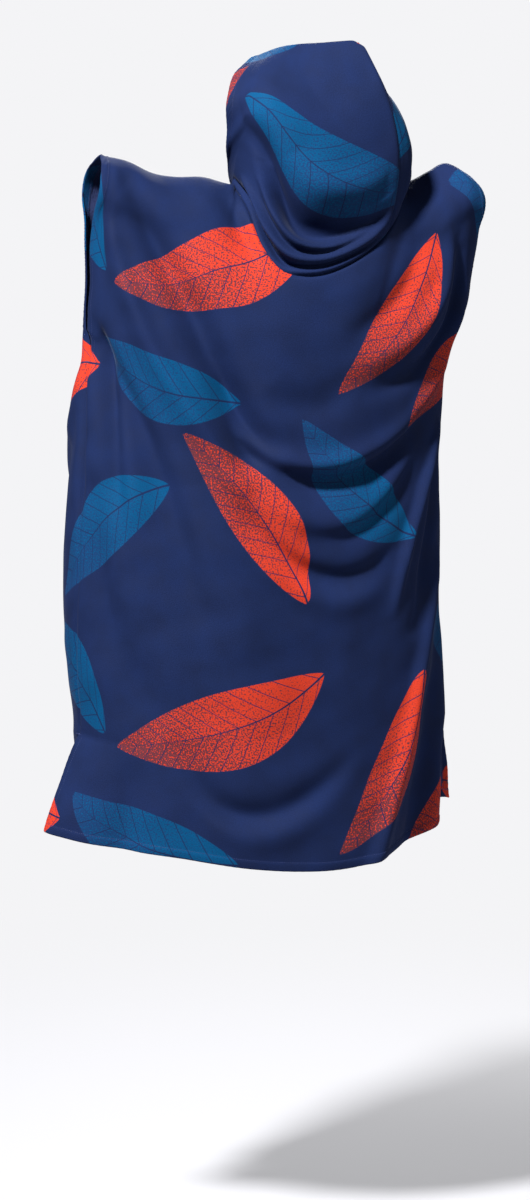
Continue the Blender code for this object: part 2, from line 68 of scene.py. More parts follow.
# How far the cloth reaches to each side, from the shoulder seam down
LEVEL_COLUMNS = ("drop", "left", "right", "back", "front")
LEVELS = (
    (0.000, 0.284, 0.254, 0.000, 0.000),
    (0.010, 0.290, 0.270, 0.028, 0.027),
    (0.035, 0.297, 0.283, 0.060, 0.055),
    (0.080, 0.301, 0.284, 0.090, 0.080),
    (0.150, 0.303, 0.276, 0.120, 0.108),
    (0.220, 0.305, 0.264, 0.136, 0.128),
    (0.300, 0.312, 0.238, 0.146, 0.140),
    (0.400, 0.325, 0.229, 0.152, 0.146),
    (0.550, 0.339, 0.227, 0.162, 0.150),
    (0.700, 0.339, 0.232, 0.172, 0.156),
    (0.840, 0.326, 0.236, 0.178, 0.162),
    (0.985, 0.330, 0.236, 0.184, 0.168),
)

# Half of the gap between the armhole's two edges, and how far the side seams sit behind centre
ARMHOLE_COLUMNS = ("drop", "half_gap")
ARMHOLE_GAP = (
    (0.000, 0.000),
    (0.015, 0.032),
    (0.035, 0.046),
    (0.060, 0.044),
    (0.085, 0.026),
    (0.120, 0.016),
    (0.200, 0.011),
    (0.260, 0.006),
    (0.300, 0.000),
)
SEAM_COLUMNS = ("drop", "left_angle", "right_angle")
SIDE_SEAMS = (
    (0.000, 0.0, 0.0),
    (0.250, 0.0, 0.0),
    (0.420, 10.0, 0.0),
    (0.600, 14.0, 0.0),
    (0.760, 8.0, 0.0),
    (0.985, 0.0, 0.0),
)

# How much higher the cloth lies than at the neck, across the garment from right to left
LIFT_COLUMNS = ("across", "shoulder", "hem")
LIFTS = (
    (-1.00, 0.014, 0.050),
    (-0.94, 0.026, 0.046),
    (-0.85, 0.016, 0.040),
    (-0.75, 0.002, 0.030),
    (-0.62, -0.008, 0.020),
    (-0.30, -0.006, 0.003),
    (0.00, -0.006, 0.003),
    (0.30, -0.006, 0.012),
    (0.45, 0.004, 0.019),
    (0.60, 0.004, 0.026),
    (0.72, 0.009, 0.030),
    (0.86, 0.026, 0.033),
    (1.00, 0.034, 0.038),
)

# Neckline, by the angle round the neck from the left: left 0, back 90, right 180, front 270
NECK_COLUMN_NAMES = ("angle", "x", "y", "z")
NECKLINE = (
    (0.0, 0.090, 0.002, -0.006),
    (22.5, 0.085, 0.058, -0.041),
    (45.0, 0.074, 0.097, -0.095),
    (67.5, 0.046, 0.118, -0.132),
    (90.0, -0.004, 0.122, -0.136),
    (112.5, -0.066, 0.113, -0.113),
    (135.0, -0.120, 0.089, -0.075),
    (157.5, -0.150, 0.052, -0.036),
    (180.0, -0.162, 0.002, -0.008),
    (202.5, -0.149, -0.032, -0.022),
    (225.0, -0.124, -0.057, -0.046),
    (247.5, -0.084, -0.075, -0.070),
    (270.0, -0.038, -0.082, -0.080),
    (292.5, 0.012, -0.076, -0.072),
    (315.0, 0.053, -0.058, -0.046),
    (337.5, 0.078, -0.032, -0.022),
    (360.0, 0.090, 0.002, -0.006),
)

# Corners of the panels below the side slits: how far each one is drawn out, back and up
CORNER_COLUMNS = ("panel", "seam", "out", "behind", "up")
CORNERS = (
    ("back", "left", 0.050, 0.020, 0.014),
    ("back", "right", -0.036, 0.058, -0.004),
    ("front", "left", -0.014, -0.018, 0.010),
    ("front", "right", 0.028, -0.030, 0.011),
)
CORNER_REACH = 0.11
CORNER_BEND = 0.75

# How far down the body's sections give way to the neckline (all of it from where that has dropped
# so far, and only a share of it at the neck points), the columns fan out to the sides, the
# shoulder's lift turns into the hem's, the folds fade in, and they turn from up to outwards
NECK_BLEND = 0.16
NECK_SETTLED = 0.06
NECK_LEAST = 0.12
NECK_FAN = 0.24
LIFT_CHANGE = 0.5
NECK_ROOT = 0.03
SHOULDER_ROUND = 0.05

# The least depth that turns the folds' way, the passes that settle the neckline's drops, and the
# shares of a panel's width between which the neckline lies
LEAST_DEPTH = 0.02
LEVEL_PASSES = 4
NECK_LEFT = 14 / 48
NECK_RIGHT = 34 / 48

# ---------------------------------------------------------------- the hood's seams and edges

HOOD_FRONT_ANGLE = -45.0
HOOD_COLUMN_NAMES = ("place", "x", "y", "z")
HOOD_TOP_SEAM = (
    (0.00, 0.043, -0.050, 0.178),
    (0.30, 0.006, -0.018, 0.194),
    (0.70, -0.048, 0.026, 0.199),
    (1.00, -0.092, 0.050, 0.202),
)
HOOD_BACK_SEAM = (
    (0.00, -0.120, 0.089, -0.075),
    (0.18, -0.129, 0.096, -0.030),
    (0.38, -0.1325, 0.102, 0.020),
    (0.58, -0.129, 0.100, 0.070),
    (0.80, -0.114, 0.085, 0.135),
    (1.00, -0.092, 0.050, 0.202),
)
HOOD_LEFT_OPENING = (
    (0.00, 0.053, -0.058, -0.046),
    (0.25, 0.085, -0.024, 0.006),
    (0.50, 0.103, 0.020, 0.062),
    (0.72, 0.103, 0.026, 0.114),
    (0.88, 0.080, -0.008, 0.153),
    (1.00, 0.043, -0.050, 0.178),
)
HOOD_RIGHT_OPENING = (
    (0.00, 0.053, -0.058, -0.046),
    (0.25, 0.022, -0.106, 0.010),
    (0.50, -0.006, -0.132, 0.070),
    (0.72, -0.008, -0.128, 0.120),
    (0.88, 0.012, -0.098, 0.156),
    (1.00, 0.043, -0.050, 0.178),
)
HOOD_ROOT = 0.010
HOOD_SEAM_FADE = 0.02
HOOD_TOP_FADE = 0.02

# The peak where the top and back seams meet is pushed in by so much, so far round, this way
PEAK_BLUNTER = 0.006
PEAK_REACH = 0.009
PEAK_WAY_IN = (0.60, -0.20, -0.77)

# Beside the lower half of the left opening, the sheet is drawn out straight from its edge: how
# far in metres across the whole sheet, and the shares up and across over which that comes and goes
DRAWN_OUT = (-0.05, 0.09, -0.06)
DRAWN_FROM = 0.16
DRAWN_UNTIL = 0.45
DRAWN_FADE = 0.25
DRAWN_ACROSS = 0.15

# ---------------------------------------------------------------- folds

# Each fold runs along a curve through three places a, b and c of the cloth: how far round the
# garment and along it they are, and how high it is there, a ridge above 0 and a trough below.
# It fades over one width on its upper side (or the right side of a fold that runs down) and over
# another on its lower (or left) side, so that a crease can be soft on one side and crisp on the
# other. Round is 0 at the centre back, 0.39 at the left seam, 0.78 at the centre front and -0.39
# or 1.17 at the right seam, and along is the drop.
FOLD_COLUMNS = ("round_a", "along_a", "height_a", "round_b", "along_b", "height_b",
                "round_c", "along_c", "height_c", "upper", "lower")
BACK_FOLDS = (
    # troughs that run in from the left armhole, and the ridges beside them
    (0.345, 0.270, -0.008, 0.232, 0.400, -0.018, 0.150, 0.700, 0.000, 0.022, 0.040),
    (0.300, 0.090, 0.004, 0.210, 0.255, 0.016, 0.094, 0.440, 0.006, 0.016, 0.028),
    (0.346, 0.250, -0.005, 0.310, 0.350, -0.018, 0.288, 0.540, -0.004, 0.020, 0.027),
    (0.353, 0.480, -0.004, 0.306, 0.660, -0.012, 0.190, 0.810, 0.000, 0.034, 0.036),
    (0.160, 0.450, 0.002, 0.105, 0.620, 0.014, 0.040, 0.790, 0.002, 0.045, 0.045),
    # the deep trough from the left shoulder, and a shorter one inside it
    (0.262, 0.035, -0.009, 0.158, 0.190, -0.030, 0.080, 0.395, -0.024, 0.028, 0.025),
    (0.108, 0.270, -0.003, 0.078, 0.345, -0.011, 0.030, 0.402, -0.003, 0.020, 0.011),
    # beside the hood's edge the cloth sinks
    (0.092, 0.010, -0.004, 0.074, 0.070, -0.011, 0.040, 0.130, -0.004, 0.018, 0.024),
    # swags that hang between the shoulders, each with a ridge over it
    (0.050, 0.300, 0.000, -0.015, 0.322, -0.008, -0.090, 0.275, 0.000, 0.028, 0.022),
    (0.078, 0.372, 0.002, -0.045, 0.405, 0.009, -0.235, 0.338, 0.002, 0.016, 0.011),
    (0.082, 0.388, -0.004, -0.042, 0.428, -0.015, -0.240, 0.362, -0.005, 0.011, 0.026),
    (0.078, 0.452, 0.000, -0.060, 0.492, 0.008, -0.170, 0.425, 0.002, 0.020, 0.016),
    (0.020, 0.505, 0.000, -0.085, 0.500, -0.007, -0.210, 0.425, -0.003, 0.015, 0.021),
    (0.104, 0.462, -0.003, -0.010, 0.562, -0.012, -0.146, 0.550, -0.002, 0.014, 0.026),
    (0.112, 0.500, 0.002, -0.004, 0.592, 0.007, -0.130, 0.590, 0.000, 0.016, 0.022),
    # right shoulder
    (-0.250, 0.110, -0.004, -0.252, 0.245, -0.014, -0.105, 0.302, -0.003, 0.018, 0.022),
    (-0.215, 0.080, 0.004, -0.205, 0.190, 0.010, -0.080, 0.262, 0.003, 0.020, 0.020),
    (-0.165, 0.090, -0.003, -0.130, 0.170, -0.008, -0.050, 0.222, 0.000, 0.018, 0.018),
    (-0.300, 0.190, 0.004, -0.275, 0.310, 0.008, -0.180, 0.345, 0.000, 0.016, 0.018),
    # the crisp fold from the right armhole, and the one that turns the side towards the slit
    (-0.290, 0.400, 0.004, -0.195, 0.510, 0.014, -0.134, 0.650, 0.000, 0.012, 0.010),
    (-0.320, 0.425, -0.004, -0.245, 0.560, -0.012, -0.180, 0.690, 0.000, 0.020, 0.018),
    (-0.290, 0.590, 0.003, -0.196, 0.745, 0.012, -0.108, 1.000, 0.011, 0.018, 0.014),
    (-0.335, 0.640, -0.003, -0.260, 0.800, -0.016, -0.190, 1.000, -0.020, 0.040, 0.044),
    # low swags and waves of the hem
    (0.180, 0.828, -0.003, 0.066, 0.912, -0.011, -0.080, 0.801, 0.000, 0.020, 0.014),
    (0.165, 0.862, 0.000, 0.064, 0.944, 0.007, -0.075, 0.848, 0.000, 0.018, 0.020),
    (0.255, 0.800, 0.000, 0.245, 0.900, -0.006, 0.245, 1.000, -0.010, 0.030, 0.030),
)
SIDE_FOLDS = (
    (0.390, 0.270, -0.005, 0.390, 0.380, -0.011, 0.390, 0.520, -0.002, 0.013, 0.013),
    (1.170, 0.290, -0.004, 1.170, 0.370, -0.008, 1.170, 0.480, 0.000, 0.014, 0.014),
)
FRONT_FOLDS = (
    # swags from shoulder to shoulder
    (0.500, 0.090, -0.003, 0.780, 0.290, -0.015, 1.060, 0.090, -0.003, 0.020, 0.024),
    (0.490, 0.170, 0.002, 0.770, 0.370, 0.013, 1.080, 0.160, 0.002, 0.024, 0.024),
    (0.470, 0.280, -0.004, 0.790, 0.470, -0.013, 1.090, 0.260, -0.004, 0.024, 0.028),
    (0.700, 0.080, 0.000, 0.725, 0.160, -0.009, 0.700, 0.260, 0.000, 0.016, 0.016),
    (0.900, 0.080, 0.000, 0.865, 0.170, -0.009, 0.880, 0.270, 0.000, 0.016, 0.016),
    # folds from the armholes
    (0.425, 0.330, 0.006, 0.550, 0.500, 0.014, 0.650, 0.720, 0.000, 0.028, 0.028),
    (0.480, 0.420, -0.006, 0.590, 0.600, -0.012, 0.680, 0.780, 0.000, 0.028, 0.028),
    (1.135, 0.330, 0.006, 1.020, 0.520, 0.014, 0.930, 0.750, 0.000, 0.028, 0.028),
    (1.090, 0.430, -0.006, 0.985, 0.620, -0.012, 0.890, 0.800, 0.000, 0.028, 0.028),
    # waves that fall to the hem
    (0.520, 0.640, 0.000, 0.510, 0.820, -0.012, 0.510, 1.000, -0.016, 0.032, 0.032),
    (0.640, 0.700, 0.000, 0.645, 0.860, 0.010, 0.650, 1.000, 0.015, 0.030, 0.030),
    (0.790, 0.620, 0.000, 0.780, 0.820, -0.011, 0.775, 1.000, -0.015, 0.034, 0.034),
    (0.930, 0.720, 0.000, 0.920, 0.870, 0.011, 0.915, 1.000, 0.016, 0.030, 0.030),
    (1.060, 0.640, 0.000, 1.060, 0.830, -0.011, 1.055, 1.000, -0.014, 0.032, 0.032),
)
BODY_FOLDS = BACK_FOLDS + SIDE_FOLDS + FRONT_FOLDS

# Folds of the hood halves: round from the opening to the back seam, and along up from the neckline
HOOD_LEFT_FOLDS = (
    # the deep trough below the head, with a softer one over it
    (0.070, 0.180, 0.000, 0.150, 0.096, -0.015, 0.245, 0.082, -0.002, 0.030, 0.016),
    (0.112, 0.106, -0.005, 0.190, 0.062, -0.028, 0.276, 0.046, -0.006, 0.021, 0.009),
    # the bulge under it, a crisp crease, and the rim that turns in towards the neck
    (0.118, 0.078, 0.003, 0.186, 0.048, 0.009, 0.250, 0.046, 0.003, 0.007, 0.008),
    (0.128, 0.054, -0.003, 0.188, 0.038, -0.009, 0.264, 0.035, -0.003, 0.007, 0.006),
    (0.094, 0.042, 0.004, 0.160, 0.027, 0.009, 0.256, 0.025, 0.003, 0.008, 0.006),
    (0.130, 0.016, -0.003, 0.188, 0.014, -0.008, 0.262, 0.012, -0.002, 0.006, 0.006),
    (0.072, 0.016, -0.004, 0.122, 0.012, -0.012, 0.172, 0.009, -0.006, 0.010, 0.008),
    (0.175, 0.006, 0.001, 0.220, 0.005, 0.006, 0.262, 0.006, 0.002, 0.007, 0.007),
    (0.150, 0.170, 0.000, 0.205, 0.135, 0.009, 0.262, 0.115, 0.000, 0.026, 0.024),
    (0.060, 0.170, 0.000, 0.110, 0.200, 0.010, 0.180, 0.260, 0.000, 0.045, 0.045),
)
HOOD_RIGHT_FOLDS = (
    (0.050, 0.034, 0.000, 0.140, 0.034, -0.008, 0.230, 0.034, 0.000, 0.016, 0.016),
    (0.060, 0.066, 0.000, 0.150, 0.066, 0.010, 0.240, 0.060, 0.003, 0.020, 0.020),
    (0.235, 0.020, 0.003, 0.235, 0.140, 0.016, 0.235, 0.260, 0.002, 0.050, 0.050),
    (0.080, 0.150, 0.000, 0.130, 0.200, 0.014, 0.180, 0.270, 0.000, 0.050, 0.050),
)
CURVE_STEPS = 40

# Cloth is never quite even: soft waves this long and this high, seeded, all over it
UNEVEN_SEED = 7
UNEVEN_WAVES = 14
UNEVEN_SHORTEST = 0.045
UNEVEN_LONGEST = 0.160
UNEVEN_HEIGHT = 0.0012

# ---------------------------------------------------------------- grids of the shells

BODY_STEP = 0.0052
HOOD_STEP = 0.0032

# The hems' stitches
STITCH_PITCH = 0.0032
STITCH_LENGTH = 0.0027
THREAD_SIZE = 0.0006
THREAD_SEGMENTS = 6
THREAD_RINGS = 4

# Distances from an edge where the grid has a line of its own: for the rolled seam, the turned
# hem's fold and the groove of its stitches
EDGE_LINES = (0.0, 0.0012, 0.0026, 0.0045, 0.0070, 0.0095, 0.0110, 0.0120, 0.0130, 0.0145, 0.0165)

# How far a seam's cloth rolls in and over what reach; how near edges count as sewn together; how
# far a hem's fold bulges, as a share of its thickness; and how far the edges reach over a seam's line
SEAM_DEPTH = 0.0024
SEAM_REACH = 0.0034
SEAM_FAR = 0.010
SEAM_CLOSE = 0.003
SEAM_APART = 0.006
FOLD_BULGE = 0.35
SEAM_OVERLAP = 0.0003
HEM_STEP = 0.0012
HEM_THICKER = 0.0007
GROOVE_DEPTH = 0.0007
GROOVE_REACH = 0.0014
PUCKER_HEIGHT = 0.0005
PUCKER_LENGTH = 0.011
PUCKER_SWAY = 2.0
PUCKER_SWAY_LENGTH = 0.0187

# Inside, the hem's raw edge is overlocked: the row's distance from the hem's fold, the threads'
# pitch, their length across the edge and their slant. At the ends of the armholes and slits, a
# tack reaches so far from the seam, with threads this close, this long and across its run.
OVERLOCK_LINE = 0.0122
OVERLOCK_PITCH = 0.0019
OVERLOCK_LENGTH = 0.0036
OVERLOCK_SLANT = math.radians(70.0)
TACK_REACH = 0.008
TACK_PITCH = 0.0008
TACK_LENGTH = 0.0030
TACK_SLANT = math.radians(86.0)

# ---------------------------------------------------------------- the print

# A repeat of tossed leaves. Places are in metres within the repeat, turn is in degrees from
# across the cloth, and curve is how far the leaf's spine bows.
REPEAT = (0.78, 0.66)
LEAF_COLUMNS = ("tone", "round", "along", "turn", "length", "width", "curve")
LEAVES = (
    ("coral", 0.130, 0.110, 24.0, 0.330, 0.108, 0.030),
    ("teal", 0.420, 0.090, -32.0, 0.270, 0.096, -0.024),
    ("coral", 0.655, 0.190, 58.0, 0.270, 0.090, 0.022),
    ("teal", 0.210, 0.290, -14.0, 0.270, 0.098, 0.026),
    ("coral", 0.478, 0.336, 16.0, 0.270, 0.100, -0.026),
    ("teal", 0.690, 0.440, -48.0, 0.270, 0.092, 0.020),
    ("coral", 0.090, 0.490, -54.0, 0.280, 0.096, -0.022),
    ("teal", 0.320, 0.545, 36.0, 0.300, 0.100, -0.026),
)

# Where the hood's cut lies on the repeat, how full a leaf is towards its tips and how much fuller
# at its base, and how far outside the leaves their fields are still worked out
HOOD_PRINT_SHIFT = (0.140, 0.020)
TIP_FULLNESS = 0.80
BASE_FULLER = 0.35
PRINT_FAR = 0.060

# Veins, where the navy ground shows through: widths of the midrib and the side veins, how far
# apart these are and how they slope, and how soft the print's edge is
MIDRIB = 0.0030
VEIN = 0.0014
VEIN_PITCH = 0.026
VEIN_SLOPE = 0.9
PRINT_EDGE = 0.0006

# ---------------------------------------------------------------- camera, light and floor

IMAGE_WIDTH = 530
IMAGE_HEIGHT = 1200
METRES_PER_PIXEL = 0.00147
CAMERA_TURN = math.radians(18.0)
CAMERA_RISE = math.radians(6.0)
CAMERA_DISTANCE = 5.0
ORIGIN_PIXEL = (290, 183)
SENSOR = 36.0

FLOOR_LEVEL = -1.55
FLOOR_RADIUS = 40.0
FLOOR_SIDES = 96
FLOOR_CLEAR = 0.5
FLOOR_GONE = 2.4
FLOOR = "#B4B4B8"
ROOM = "#F4F4F6"
ROOM_LIGHT = 0.10

# Each lamp's name, place, diameter in metres and power in watts; all point at the same place
LIT_POINT = (0.0, 0.0, -0.45)
LIGHTS = (
    ("key", (3.1, 2.5, 4.1), 0.8, 800.0),
    ("fill", (-3.6, 2.2, 0.6), 2.4, 40.0),
    ("front_fill", (-1.6, -4.0, 2.2), 1.6, 260.0),
)


def placed(name, data):
    """A new object of the scene that holds this data."""
    made = bpy.data.objects.new(name, data)
    bpy.context.scene.collection.objects.link(made)
    return made


def column(table, names, name):
    return np.array([row[names.index(name)] for row in table])


def smooth(x, xs, ys):
    """A smooth curve through a table: cubic between rows, with the slope of its neighbours."""
    slopes = np.gradient(ys, xs)
    x = np.clip(x, xs[0], xs[-1])
    i = np.clip(np.searchsorted(xs, x, side="right") - 1, 0, len(xs) - 2)
    step = xs[i + 1] - xs[i]
    s = (x - xs[i]) / step
    rise = ys[i + 1] - ys[i]
    a = slopes[i] * step - rise
    b = rise - slopes[i + 1] * step
    return ys[i] + s * rise + s * (1 - s) * ((1 - s) * a + s * b)


def read(table, names, name, at):
    """One column of a table, as a smooth curve over its first column."""
    return smooth(at, column(table, names, names[0]), column(table, names, name))


def space_curve(table, names, at):
    return np.stack([read(table, names, axis, at) for axis in "xyz"], axis=-1)


def ease(x):
    x = np.clip(x, 0.0, 1.0)
    return x * x * (3.0 - 2.0 * x)


# ---------------------------------------------------------------- form of the body


def level(name, drop):
    """A section's reach; the square root of the drop rounds the cloth over the shoulder."""
    drops = np.sqrt(column(LEVELS, LEVEL_COLUMNS, "drop"))
    return smooth(np.sqrt(np.maximum(drop, 0.0)), drops, column(LEVELS, LEVEL_COLUMNS, name))


def lift(name, across):
    return read(LIFTS, LIFT_COLUMNS, name, across)


def seam_angle(name, drop):
    return np.radians(read(SIDE_SEAMS, SEAM_COLUMNS, name, drop))


def armhole_gap(drop):
    return read(ARMHOLE_GAP, ARMHOLE_COLUMNS, "half_gap", drop)


def neckline(angle):
    """A point of the neckline, by the angle round the neck in degrees."""
    return space_curve(NECKLINE, NECK_COLUMN_NAMES, np.mod(angle, 360.0))


def body_lift(across, drop):
    shoulder, hem = lift("shoulder", across), lift("hem", across)
    return shoulder + (hem - shoulder) * ease(drop / LIFT_CHANGE)


def body_point(angle, drop, side):
    """The cloth without its folds: angle 0 at the left, 180 at the right; side +1 back, -1 front."""
    reach = np.where(side * np.sin(angle) > 0, level("back", drop), level("front", drop))
    left, right = level("left", drop), level("right", drop)
    across = np.cos(angle)
    x = (left - right) / 2 + (left + right) / 2 * across
    gap = armhole_gap(drop)
    y = side * gap + (side * reach - side * gap) * np.sin(angle)
    z = body_lift(across, drop) - drop
    return np.stack([x, y, z], axis=-1)


def body_top(share, side):
    """The upper edge: its point, its drop and its angle, for each share of the panel's width."""
    left, right = level("left", 0.0), level("right", 0.0)
    middle, half = (left - right) / 2, (left + right) / 2
    at_neck = (share >= NECK_LEFT) & (share <= NECK_RIGHT)
    neck = neckline(side * 180.0 * (share[at_neck] - NECK_LEFT) / (NECK_RIGHT - NECK_LEFT))
    ends = [math.acos((x - middle) / half) for x in neck[[0, -1], 0]]
    drop = -neck[:, 2]
    for _ in range(LEVEL_PASSES):
        left, right = level("left", drop), level("right", drop)
        across = (2 * neck[:, 0] - left + right) / (left + right)
        drop = body_lift(across, drop) - neck[:, 2]
    drop[[0, -1]] = 0.0
    neck_angle = np.arccos(across)
    neck_angle[[0, -1]] = ends
    edge = np.full((len(share), 3), np.nan)
    edge[at_neck] = neck
    top = np.zeros(len(share))
    top[at_neck] = drop
    angle = np.where(share < NECK_LEFT, share / NECK_LEFT * ends[0],
                     math.pi - (1 - share) / (1 - NECK_RIGHT) * (math.pi - ends[1]))
    angle[at_neck] = neck_angle
    return edge, top, angle


def corner_pull(panel, angle, drop):
    """How the corners below the slits are drawn out of the garment's plain outline."""
    below = np.clip((drop - (LENGTH - SLIT)) / SLIT, 0.0, 1.0) ** CORNER_BEND
    pull = np.zeros(drop.shape + (3,))
    for row in CORNERS:
        corner = dict(zip(CORNER_COLUMNS, row))
        if corner["panel"] == panel:
            at_left = corner["seam"] == "left"
            from_seam = (angle if at_left else math.pi - angle) / math.pi * PANEL_WIDTH
            weight = below * np.exp(-((from_seam / CORNER_REACH) ** 2))
            out = corner["out"] if at_left else -corner["out"]
            pull += weight[..., None] * np.array([out, corner["behind"], corner["up"]])
    return pull


def fold_way(angle, drop, side):
    """The way in which the body's folds rise: straight out of its section, and up on the shoulder."""
    half = (level("left", drop) + level("right", drop)) / 2
    depth = np.where(side * np.sin(angle) > 0, level("back", drop), level("front", drop))
    depth = np.maximum(depth, LEAST_DEPTH)
    way = np.stack([np.cos(angle) / half, side * np.sin(angle) / depth,
                    np.exp(-drop / SHOULDER_ROUND) / depth], axis=-1)
    return way / np.linalg.norm(way, axis=-1, keepdims=True)


def fold_height(places, folds):
    """The height that a table of folds gives each place: its distance to each curve fades it."""
    height = np.zeros(places.shape[:-1])
    steps = np.linspace(0.0, 1.0, CURVE_STEPS + 1)[:, None]
    for row in folds:
        fold = dict(zip(FOLD_COLUMNS, row))
        a, b, c = (np.array([fold[part + end] for part in ("round_", "along_", "height_")])
                   for end in "abc")
        bend = 2 * b - (a + c) / 2
        curve = (1 - steps) ** 2 * a + 2 * steps * (1 - steps) * bend + steps ** 2 * c
        reach = 3 * max(fold["upper"], fold["lower"])
        low, high = curve[:, :2].min(axis=0) - reach, curve[:, :2].max(axis=0) + reach
        near = ((places > low) & (places < high)).all(axis=-1)
        if not near.any():
            continue
        start, run = curve[:-1], np.diff(curve, axis=0)
        offset = places[near][:, None, :] - start[:, :2]
        s = np.clip((offset * run[:, :2]).sum(-1) / (run[:, :2] ** 2).sum(-1), 0.0, 1.0)
        away = offset - s[..., None] * run[:, :2]
        gap = np.linalg.norm(away, axis=-1)
        nearest = (np.arange(len(gap)), gap.argmin(axis=-1))
        crossed = run[:, 0] * away[..., 1] - run[:, 1] * away[..., 0]
        width = np.where(crossed[nearest] > 0, fold["upper"], fold["lower"])
        peak = (start[:, 2] + s * run[:, 2])[nearest]
        height[near] += peak * np.exp(-((gap[nearest] / width) ** 2))
    return height


def body_folds(places):
    """The folds' height all round: a fold beyond a side seam is met again from its other side."""
    return sum(fold_height(places + [turn, 0.0], BODY_FOLDS) for turn in (-GIRTH, 0.0, GIRTH))


def unevenness(places):
    """Soft, irregular waves all over the cloth, which meet where the girth closes."""
    random = np.random.default_rng(UNEVEN_SEED)
    height = np.zeros(places.shape[:-1])
    for _ in range(UNEVEN_WAVES):
        length = random.uniform(UNEVEN_SHORTEST, UNEVEN_LONGEST)
        turn, phase = random.uniform(0.0, 2 * math.pi, 2)
        around = round(GIRTH * math.cos(turn) / length) / GIRTH
        wave = 2 * math.pi * np.array([around, math.sin(turn) / length])
        height += length * np.sin(places @ wave + phase)
    return height * UNEVEN_HEIGHT / (UNEVEN_LONGEST * math.sqrt(UNEVEN_WAVES / 2))


def edge_lines(length, step, at_start=True, at_end=True):
    """Distances along a length: even steps, with the lines of a seam or hem near its ends."""
    lines = np.array(EDGE_LINES)
    start, end = (lines[-1] if at_start else 0.0), length - (lines[-1] if at_end else 0.0)
    middle = np.linspace(start, end, max(2, round((end - start) / step) + 1))
    return np.unique(np.concatenate([
        lines[:-1] if at_start else [], middle, length - lines[-2::-1] if at_end else []]))


def body_panel(side):
    """A body panel's points, ways and places; rows run down, columns from left to right."""
    share = edge_lines(PANEL_WIDTH, BODY_STEP) / PANEL_WIDTH
    for mark in (NECK_LEFT, NECK_RIGHT):
        share[np.abs(share - mark).argmin()] = mark
    rows = edge_lines(LENGTH, BODY_STEP) / LENGTH
    edge, top, top_angle = body_top(share, side)
    drop = top + rows[:, None] * (LENGTH - top)
    spread = np.clip((drop - top) / NECK_FAN, 0.0, 1.0)
    angle = top_angle + (share * math.pi - top_angle) * spread * (2.0 - spread)
    left = seam_angle("left_angle", drop) * side
    right = seam_angle("right_angle", drop) * side
    turned = left + (angle / math.pi) * (math.pi - left - right)
    points = body_point(turned, drop, side)
    shift = np.nan_to_num(edge - points[0])
    blend = NECK_BLEND * np.clip(top / NECK_SETTLED, NECK_LEAST, 1.0)
    points = points + shift * (1.0 - ease((drop - top) / blend))[..., None]
    points = points + corner_pull("back" if side > 0 else "front", angle, drop)

    around = PANEL_WIDTH / 2 + PANEL_WIDTH * (-angle if side > 0 else angle) / math.pi
    places = np.stack([around, drop], axis=-1)
    height = (body_folds(places) + unevenness(places)) * ease((drop - top) / NECK_ROOT)
    points = points + height[..., None] * fold_way(turned, drop, side)
    return points, places


# ---------------------------------------------------------------- form of the hood


def hood_panel(side):
    """Half of the hood: its points and places; rows run up, columns from opening to back seam."""
    across = edge_lines(HOOD_DEPTH, HOOD_STEP) / HOOD_DEPTH
    up = edge_lines(HOOD_HEIGHT, HOOD_STEP) / HOOD_HEIGHT
    bottom = neckline(HOOD_FRONT_ANGLE + 180.0 * side * across)
    opening = HOOD_LEFT_OPENING if side > 0 else HOOD_RIGHT_OPENING
    top = space_curve(HOOD_TOP_SEAM, HOOD_COLUMN_NAMES, across)
    opening = space_curve(opening, HOOD_COLUMN_NAMES, up)
    seam = space_curve(HOOD_BACK_SEAM, HOOD_COLUMN_NAMES, up)
    q, h = across[None, :, None], up[:, None, None]
    ruled = (1 - h) * bottom[None] + h * top[None] + (1 - q) * opening[:, None] + q * seam[:, None]
    low = (1 - q) * bottom[0] + q * bottom[-1]
    high = (1 - q) * top[0] + q * top[-1]
    points = ruled - (1 - h) * low - h * high
    if side > 0:
        drawn = ease(h / DRAWN_FROM) * (1.0 - ease((h - DRAWN_UNTIL) / DRAWN_FADE))
        points = points + drawn * q * np.exp(-q / DRAWN_ACROSS) * np.array(DRAWN_OUT)

    places = np.stack(np.meshgrid(across * HOOD_DEPTH, up * HOOD_HEIGHT), axis=-1)
    height = fold_height(places, HOOD_LEFT_FOLDS if side > 0 else HOOD_RIGHT_FOLDS)
    height += unevenness(places + [0.0, side])
    height *= ease(places[..., 1] / HOOD_ROOT)
    height *= ease((HOOD_DEPTH - places[..., 0]) / HOOD_SEAM_FADE)
    height *= ease((HOOD_HEIGHT - places[..., 1]) / HOOD_TOP_FADE)
    return points + height[..., None] * normals(points, side), places


def normals(points, facing):
    """Unit normals of a grid of points; facing is +1 or -1, whichever points them outwards."""
    across, along = np.gradient(points, axis=1), np.gradient(points, axis=0)
    normal = facing * np.cross(across, along)
    length = np.linalg.norm(normal, axis=-1, keepdims=True)
    return normal / np.maximum(length, 1e-12)


# ---------------------------------------------------------------- edges: seams and hems


def seam_roll(gap):
    """How far the cloth turns in towards a seam, by its distance from it."""
    return -SEAM_DEPTH * np.exp(-((gap / SEAM_REACH) ** 2))


def hem_relief(gap, along):
    """A turned hem's outside, by the distance from its edge: it's fuller, grooved and puckered."""
    band = 1.0 - ease((gap - STITCH_LINE) / (HEM - STITCH_LINE))
    groove = np.exp(-(((gap - STITCH_LINE) / GROOVE_REACH) ** 2))
    sway = PUCKER_SWAY * np.sin(along / PUCKER_SWAY_LENGTH)
    waves = np.sin(2 * math.pi * along / PUCKER_LENGTH + sway)
    pucker = PUCKER_HEIGHT * waves * np.exp(-(((gap - STITCH_LINE / 2) / (STITCH_LINE / 2)) ** 2))
    edge = -CLOTH * np.exp(-((gap / SEAM_REACH) ** 2)) / 2
    return HEM_THICKER * band - GROOVE_DEPTH * groove + pucker + edge


